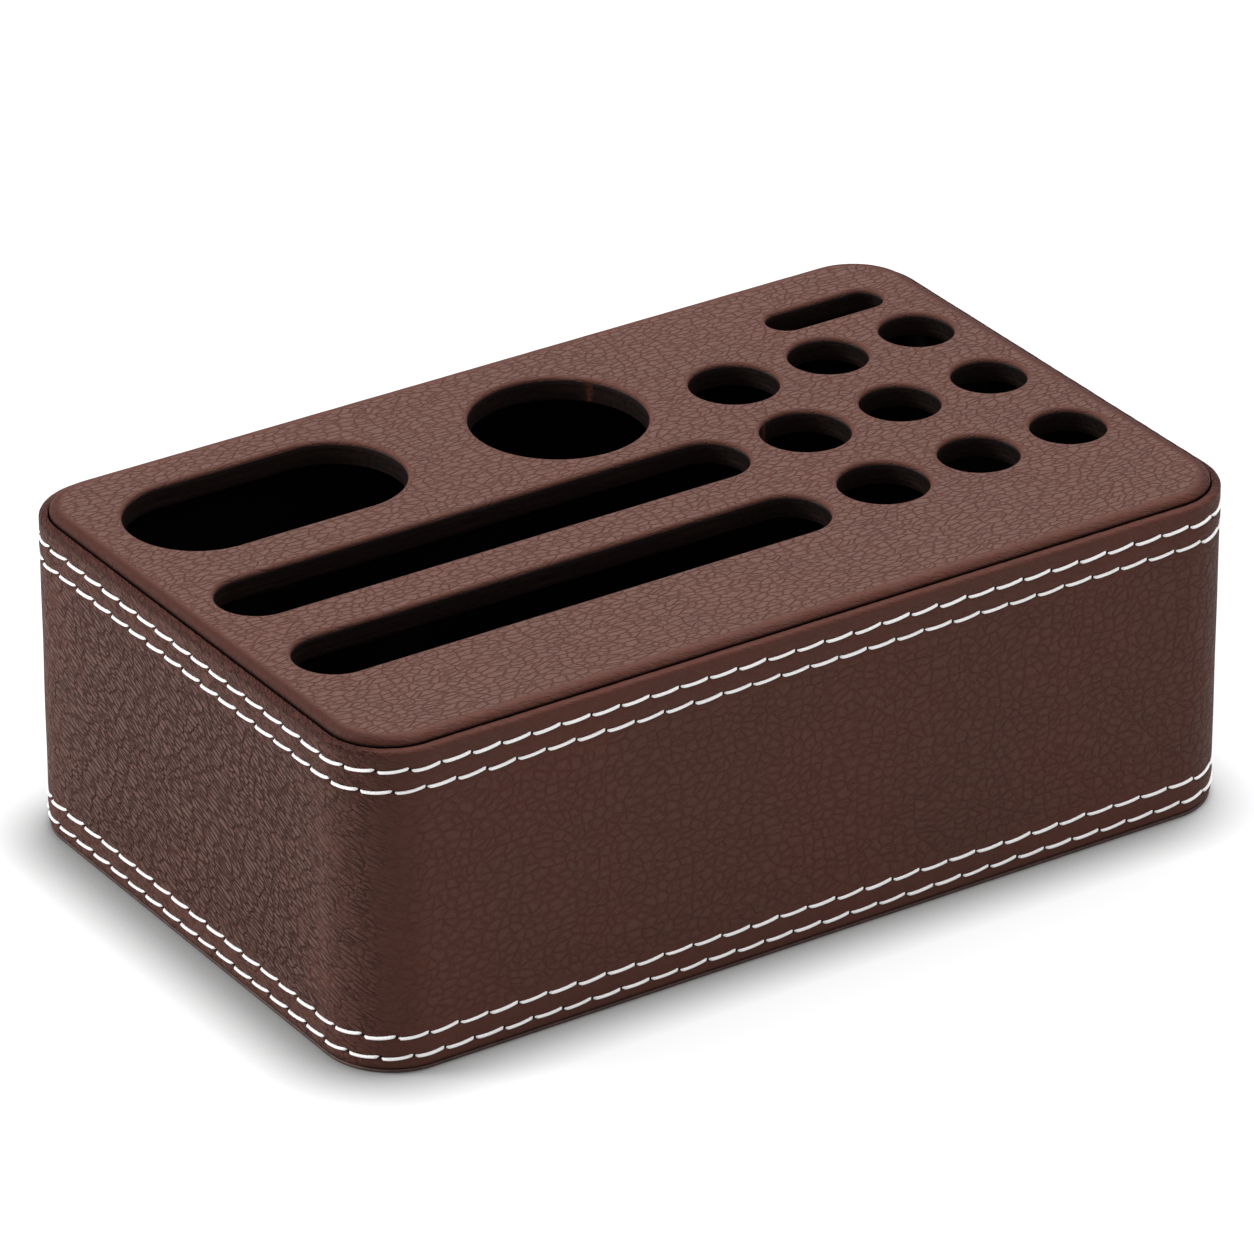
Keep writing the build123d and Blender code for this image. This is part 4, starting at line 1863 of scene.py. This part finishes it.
@dataclass
class Organizer:
    """The whole desk organizer, dressed piece by piece."""

    corner_radius: float = 17.0
    thread_pitch: float = 7.6

    def __post_init__(self) -> None:
        """Reads the wrap's outline and the stitch rows from the frame."""
        self.wrap = Extent.of("side_wrap")
        self.outline = RoundedOutline(self.wrap.size[0], self.wrap.size[1], self.corner_radius)
        places = ("foot_lower", "foot_upper", "rim_lower", "rim_upper")
        self.threads = [f"thread_{place}" for place in places]
        perimeter = self.outline.perimeter
        pitch = perimeter / round(perimeter / self.thread_pitch)
        # A stitch of the inner rows is centred where the left face begins
        rows = tuple(float(Extent.of(name).centre[2]) for name in self.threads)
        self.stitches = StitchLayout(pitch, sum(self.outline.runs[:2]), perimeter, rows)

    def build_finishes(self) -> dict[str, tuple[Finish, bpy.types.Material]]:
        """Builds every finish and its material.

        Returns:
            By the kind of piece, the finish and the material.
        """
        hide = {
            "slot": "pebbled_leather",
            "hide": "#4e2e26",
            "crease": "#40241c",
            "painted_sheen": "#634c45",
            "flush": "#552d26",
            "rubbed": "#502d25",
            "end_edge_shade_colour": "#391c16",
            "painted_shade": "#0d0504",
            "roughness": 0.55,
            "gloss": 0.1,
            "pebble": 2.6,
        }
        # The long faces are flat; the end faces are pulled into ridges that fall to the right
        front = Grain(
            stretch=(0.82, 1.15, 1.0), swirl=0.3, crease_tint=0.24, sheen_share=0.25, shoulder=0.34
        )
        end = Grain(
            stretch=(0.6, 2.1, 1.0),
            swirl=0.12,
            crease_tint=0.9,
            sheen_share=0.62,
            shoulder=0.21,
            turn=23.0,
            depth=2.25,
        )
        lid = Grain(stretch=(0.8, 1.6, 1.0), swirl=0.2, crease_tint=0.5, sheen_share=0.65)
        finishes = {
            "wrap": PebbledLeather(
                "Pebbled cow hide, sides",
                crease_width=0.42,
                relief=0.26,
                plain_sheen=0.3,
                grain=front,
                end_grain=end,
                stitches=self.stitches,
                **hide,
            ),
            "cover": PebbledLeather(
                "Pebbled cow hide, lid",
                crease_width=0.3,
                relief=0.2,
                plain_sheen=0.25,
                grain=lid,
                **hide,
            ),
            "strip": StripLeather(
                "Skived strip leather", "liner_leather", dye="#110a08", streak="#1c110e", raw="#4a2a21"
            ),
            "thread": SewingThread(
                "Bonded polyester thread", "thread", colour="#ffffff", shadow="#e6e2da", ply=0.62
            ),
            "velvet": Velvet("Flocked velvet", "velvet", pile="#050404", lit="#0c0909"),
            "board": Fibreboard(
                "Medium-density fibreboard", "fibreboard", pulp="#a98a64", fibre="#86673f"
            ),
            "sheet": LeatherboardSheet(
                "Bonded leatherboard", "base_cover", face="#3a241e", speck="#4a3028"
            ),
        }
        return {name: (finish, finish.build()) for name, finish in finishes.items()}

    def build(self) -> None:
        """Builds and dresses every piece."""
        finishes = self.build_finishes()
        self._build_box(finishes)
        self._build_lid(finishes)
        _, board = finishes["board"]
        hidden = [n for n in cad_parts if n.endswith("_board") or n.startswith("corner_post")]
        for name in hidden:
            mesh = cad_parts[name].data
            mesh.materials.clear()
            mesh.materials.append(board)
            LOG.info("%s: kept, in fibreboard", name)

    def _build_box(self, finishes: dict) -> None:
        """Builds the pieces that stay on the desk.

        Args:
            finishes: The finishes and their materials.
        """
        ledge = Extent.of("wall_lining").high[2]
        wrap = SideWrap(self.outline, self.wrap.low[2], self.wrap.high[2], ledge, self.stitches)
        dress(wrap.build(), *finishes["wrap"], Body.BOX, "side_wrap")
        sewing = ThreadRows(self.outline, self.stitches)
        tree = sewing.tree()
        for row, name in enumerate(self.threads):
            piece = sewing.build(name, tree, finishes["thread"][1], row)
            dress(piece, *finishes["thread"], Body.BOX, name)
        lining = Extent.of("wall_lining")
        skin = Extent.of("floor_mat").size[2]
        inner = self.outline.inset(self.outline.length / 2 - lining.high[0])
        ring = WallLining(inner, lining.low[2], lining.high[2], skin)
        dress(ring.build(), *finishes["velvet"], Body.BOX, "wall_lining")
        mat = self._sheet("floor_mat_velvet", "floor_mat", edge=0.3)
        dress(mat, *finishes["velvet"], Body.BOX, "floor_mat")
        sheet = self._sheet("base_sheet_board", "base_sheet", edge=0.25)
        dress(sheet, *finishes["sheet"], Body.BOX, "base_sheet")

    def _sheet(self, name: str, node: str, edge: float) -> bpy.types.Object:
        """Builds a plain sheet with soft edges in the place of a CAD node.

        Args:
            name: The piece's name.
            node: The CAD node.
            edge: Rounding of its edges.

        Returns:
            The sheet.
        """
        extent = Extent.of(node)
        low, top = extent.low[2], extent.high[2]
        rows = arc_rows((0.0, low + edge), edge, -90, 0, 3)[1:]
        rows += arc_rows((0.0, top - edge), edge, 0, 90, 3)[:-1]
        plate = PiercedPlate(
            name=name,
            flat=self.outline.inset(self.outline.length / 2 - extent.high[0] + edge),
            top=top,
            bottom=low,
            edge=np.array(rows),
            spacing=6.0,
        )
        return plate.build()

    def _build_lid(self, finishes: dict) -> None:
        """Builds the pieces that lift out.

        Args:
            finishes: The finishes and their materials.
        """
        lid = LidPlate(self.outline)
        dress(lid.build_cover(), *finishes["cover"], Body.LID, "lid_cover")
        dress(lid.build_backing(), *finishes["velvet"], Body.LID, "lid_backing")
        for node, strip in zip(lid.liners, lid.build_liners()):
            dress(strip, *finishes["strip"], Body.LID, node)


# --- The studio ---


@dataclass(frozen=True)
class Softbox:
    """A square area lamp aimed at a point of the object, all in metres."""

    name: str
    place: tuple[float, float, float]
    side: float
    watts: float

    def build(self, target: Vector) -> None:
        """Hangs the lamp and turns it to its target.

        Args:
            target: The point that it shines at.
        """
        lamp = bpy.data.lights.new(self.name, "AREA")
        lamp.shape, lamp.size = "SQUARE", self.side
        lamp.energy = self.watts
        fixture = in_scene(self.name, lamp)
        fixture.location = self.place
        fixture.rotation_euler = (target - Vector(self.place)).to_track_quat("-Z", "Y").to_euler()


@dataclass(frozen=True)
class Studio:
    """White table, soft lamps and the camera, in metres."""

    camera_place: tuple[float, float, float] = (-0.975912, -1.477943, 0.981463)
    camera_turn: float = 33.4031  # degrees that the camera looks to the right of +Y
    camera_tilt: float = 27.8494  # degrees that it looks down
    camera_roll: float = -0.0485
    lens: float = 254.512  # millimetres, as is the sensor's width
    sensor: float = 36.0
    table_side: float = 8.0
    table_drop: float = 0.05  # millimetres below the object's foot
    table_albedo: float = 0.6
    seen_albedo: float = 0.3  # the share that shows shadows, added to the plain white
    contact_reach: float = 0.016  # how far the contact shadow spreads
    contact_lean: tuple[float, float, float] = (0.42, 0.25, 1.0)  # away from the overhead lamp
    contact_samples: int = 12
    open_range: tuple[float, float] = (0.4, 1.0)  # open sky above, in the deepest shadow and away
    glow_range: tuple[float, float] = (0.02, 0.68)  # the plain white that is added for these two
    ambient: float = 0.6
    lamps: tuple[Softbox, ...] = (
        Softbox("Overhead softbox", (0.5, 0.14, 1.67), 1.3, 31.0),
        Softbox("Side fill", (-1.08, 0.6, 0.62), 0.4, 14.5),
    )
    target: tuple[float, float, float] = (0.0, 0.0, 0.04)

    def build(self) -> None:
        """Sets up the table, the lamps, the surroundings and the camera."""
        self._build_camera()
        self._build_table()
        self._build_surroundings()
        for lamp in self.lamps:
            lamp.build(Vector(self.target))
        bpy.context.scene.view_settings.view_transform = "Standard"

    def _build_camera(self) -> None:
        """Places the camera; its three axes come from its turn, tilt and roll."""
        angles = (self.camera_turn, self.camera_tilt, self.camera_roll)
        turn, tilt, roll = (math.radians(angle) for angle in angles)
        level_share = math.cos(tilt)
        ahead = Vector((math.sin(turn) * level_share, math.cos(turn) * level_share, -math.sin(tilt)))
        level = Vector((math.cos(turn), -math.sin(turn), 0.0))
        above = level.cross(ahead)
        right = level * math.cos(roll) + above * math.sin(roll)
        up = above * math.cos(roll) - level * math.sin(roll)
        camera = bpy.data.cameras.new("Camera")
        camera.lens, camera.sensor_width = self.lens, self.sensor
        camera.clip_start, camera.clip_end = 0.05, 50.0
        holder = in_scene("Camera", camera)
        axes = Matrix((right, up, -ahead)).transposed().to_4x4()
        holder.matrix_world = Matrix.Translation(self.camera_place) @ axes
        bpy.context.scene.camera = holder

    def _seen(self, g: Graph) -> bpy.types.Node:
        """Tells what is seen from what only lights the object.

        Args:
            g: The graph.

        Returns:
            1 for rays from the camera, straight or by way of a gloss or a clear piece, else 0.
        """
        rays = g.add("ShaderNodeLightPath").outputs
        seen = g.add(MATH, {0: rays["Is Camera Ray"], 1: rays["Is Glossy Ray"]}, operation="MAXIMUM")
        return g.add(MATH, {0: seen, 1: rays["Is Transmission Ray"]}, operation="MAXIMUM")

    def _build_table(self) -> None:
        """Lays a white table that shows white, with the object's shadow round its foot."""
        half, signs = self.table_side / 2 / MM, ((-1, -1), (1, -1), (1, 1), (-1, 1))
        corners = np.array([(x * half, y * half, -self.table_drop) for x, y in signs])
        table = make_piece("table", corners, [(0, 1, 2, 3)])
        material = bpy.data.materials.new("White table")
        material.use_nodes = True
        g = Graph(material.node_tree)
        # Painted shadow: the plain white glow dims near the foot by ambient occlusion that leans away
        # from the overhead lamp; the paper's diffuse share keeps the lamps' real shadow
        lean = g.add(COMBINE, dict(zip("XYZ", self.contact_lean)))
        lean = g.add(VECTOR_MATH, {0: lean}, operation="NORMALIZE")
        feeds = {"Distance": self.contact_reach, "Normal": lean}
        near = g.add("ShaderNodeAmbientOcclusion", feeds, samples=self.contact_samples)
        (closed, clear), (dim, bright) = self.open_range, self.glow_range
        fade = g.add(MAP_RANGE, {0: near.outputs["AO"], 1: closed, 2: clear, 3: dim, 4: bright})
        seen = self._seen(g)
        strength = g.add(MATH, {0: fade, 1: seen}, operation="MULTIPLY")
        glow = g.add("ShaderNodeEmission", {"Strength": strength})
        tone = g.add(MAP_RANGE, {0: seen, 3: self.table_albedo, 4: self.seen_albedo})
        paper = g.add("ShaderNodeBsdfDiffuse", {"Color": tone})
        both = g.add("ShaderNodeAddShader", {0: glow, 1: paper})
        g.add("ShaderNodeOutputMaterial", {"Surface": both})
        table.data.materials.append(material)

    def _build_surroundings(self) -> None:
        """Makes the room a soft white light, and plain white where it is seen."""
        world = bpy.data.worlds.new("White room")
        world.use_nodes = True
        g = Graph(world.node_tree)
        strength = g.add(MAP_RANGE, {0: self._seen(g), 3: self.ambient, 4: 1.0})
        sky = g.add("ShaderNodeBackground", {"Color": (1.0, 1.0, 1.0, 1.0), "Strength": strength})
        g.add("ShaderNodeOutputWorld", {"Surface": sky})
        bpy.context.scene.world = world


def main() -> None:
    """Builds the organizer and the studio round it."""
    logging.basicConfig(level=logging.INFO, format="%(name)s: %(message)s")
    Organizer().build()
    Studio().build()
    bpy.context.view_layer.update()


if __name__ == "__main__":
    main()
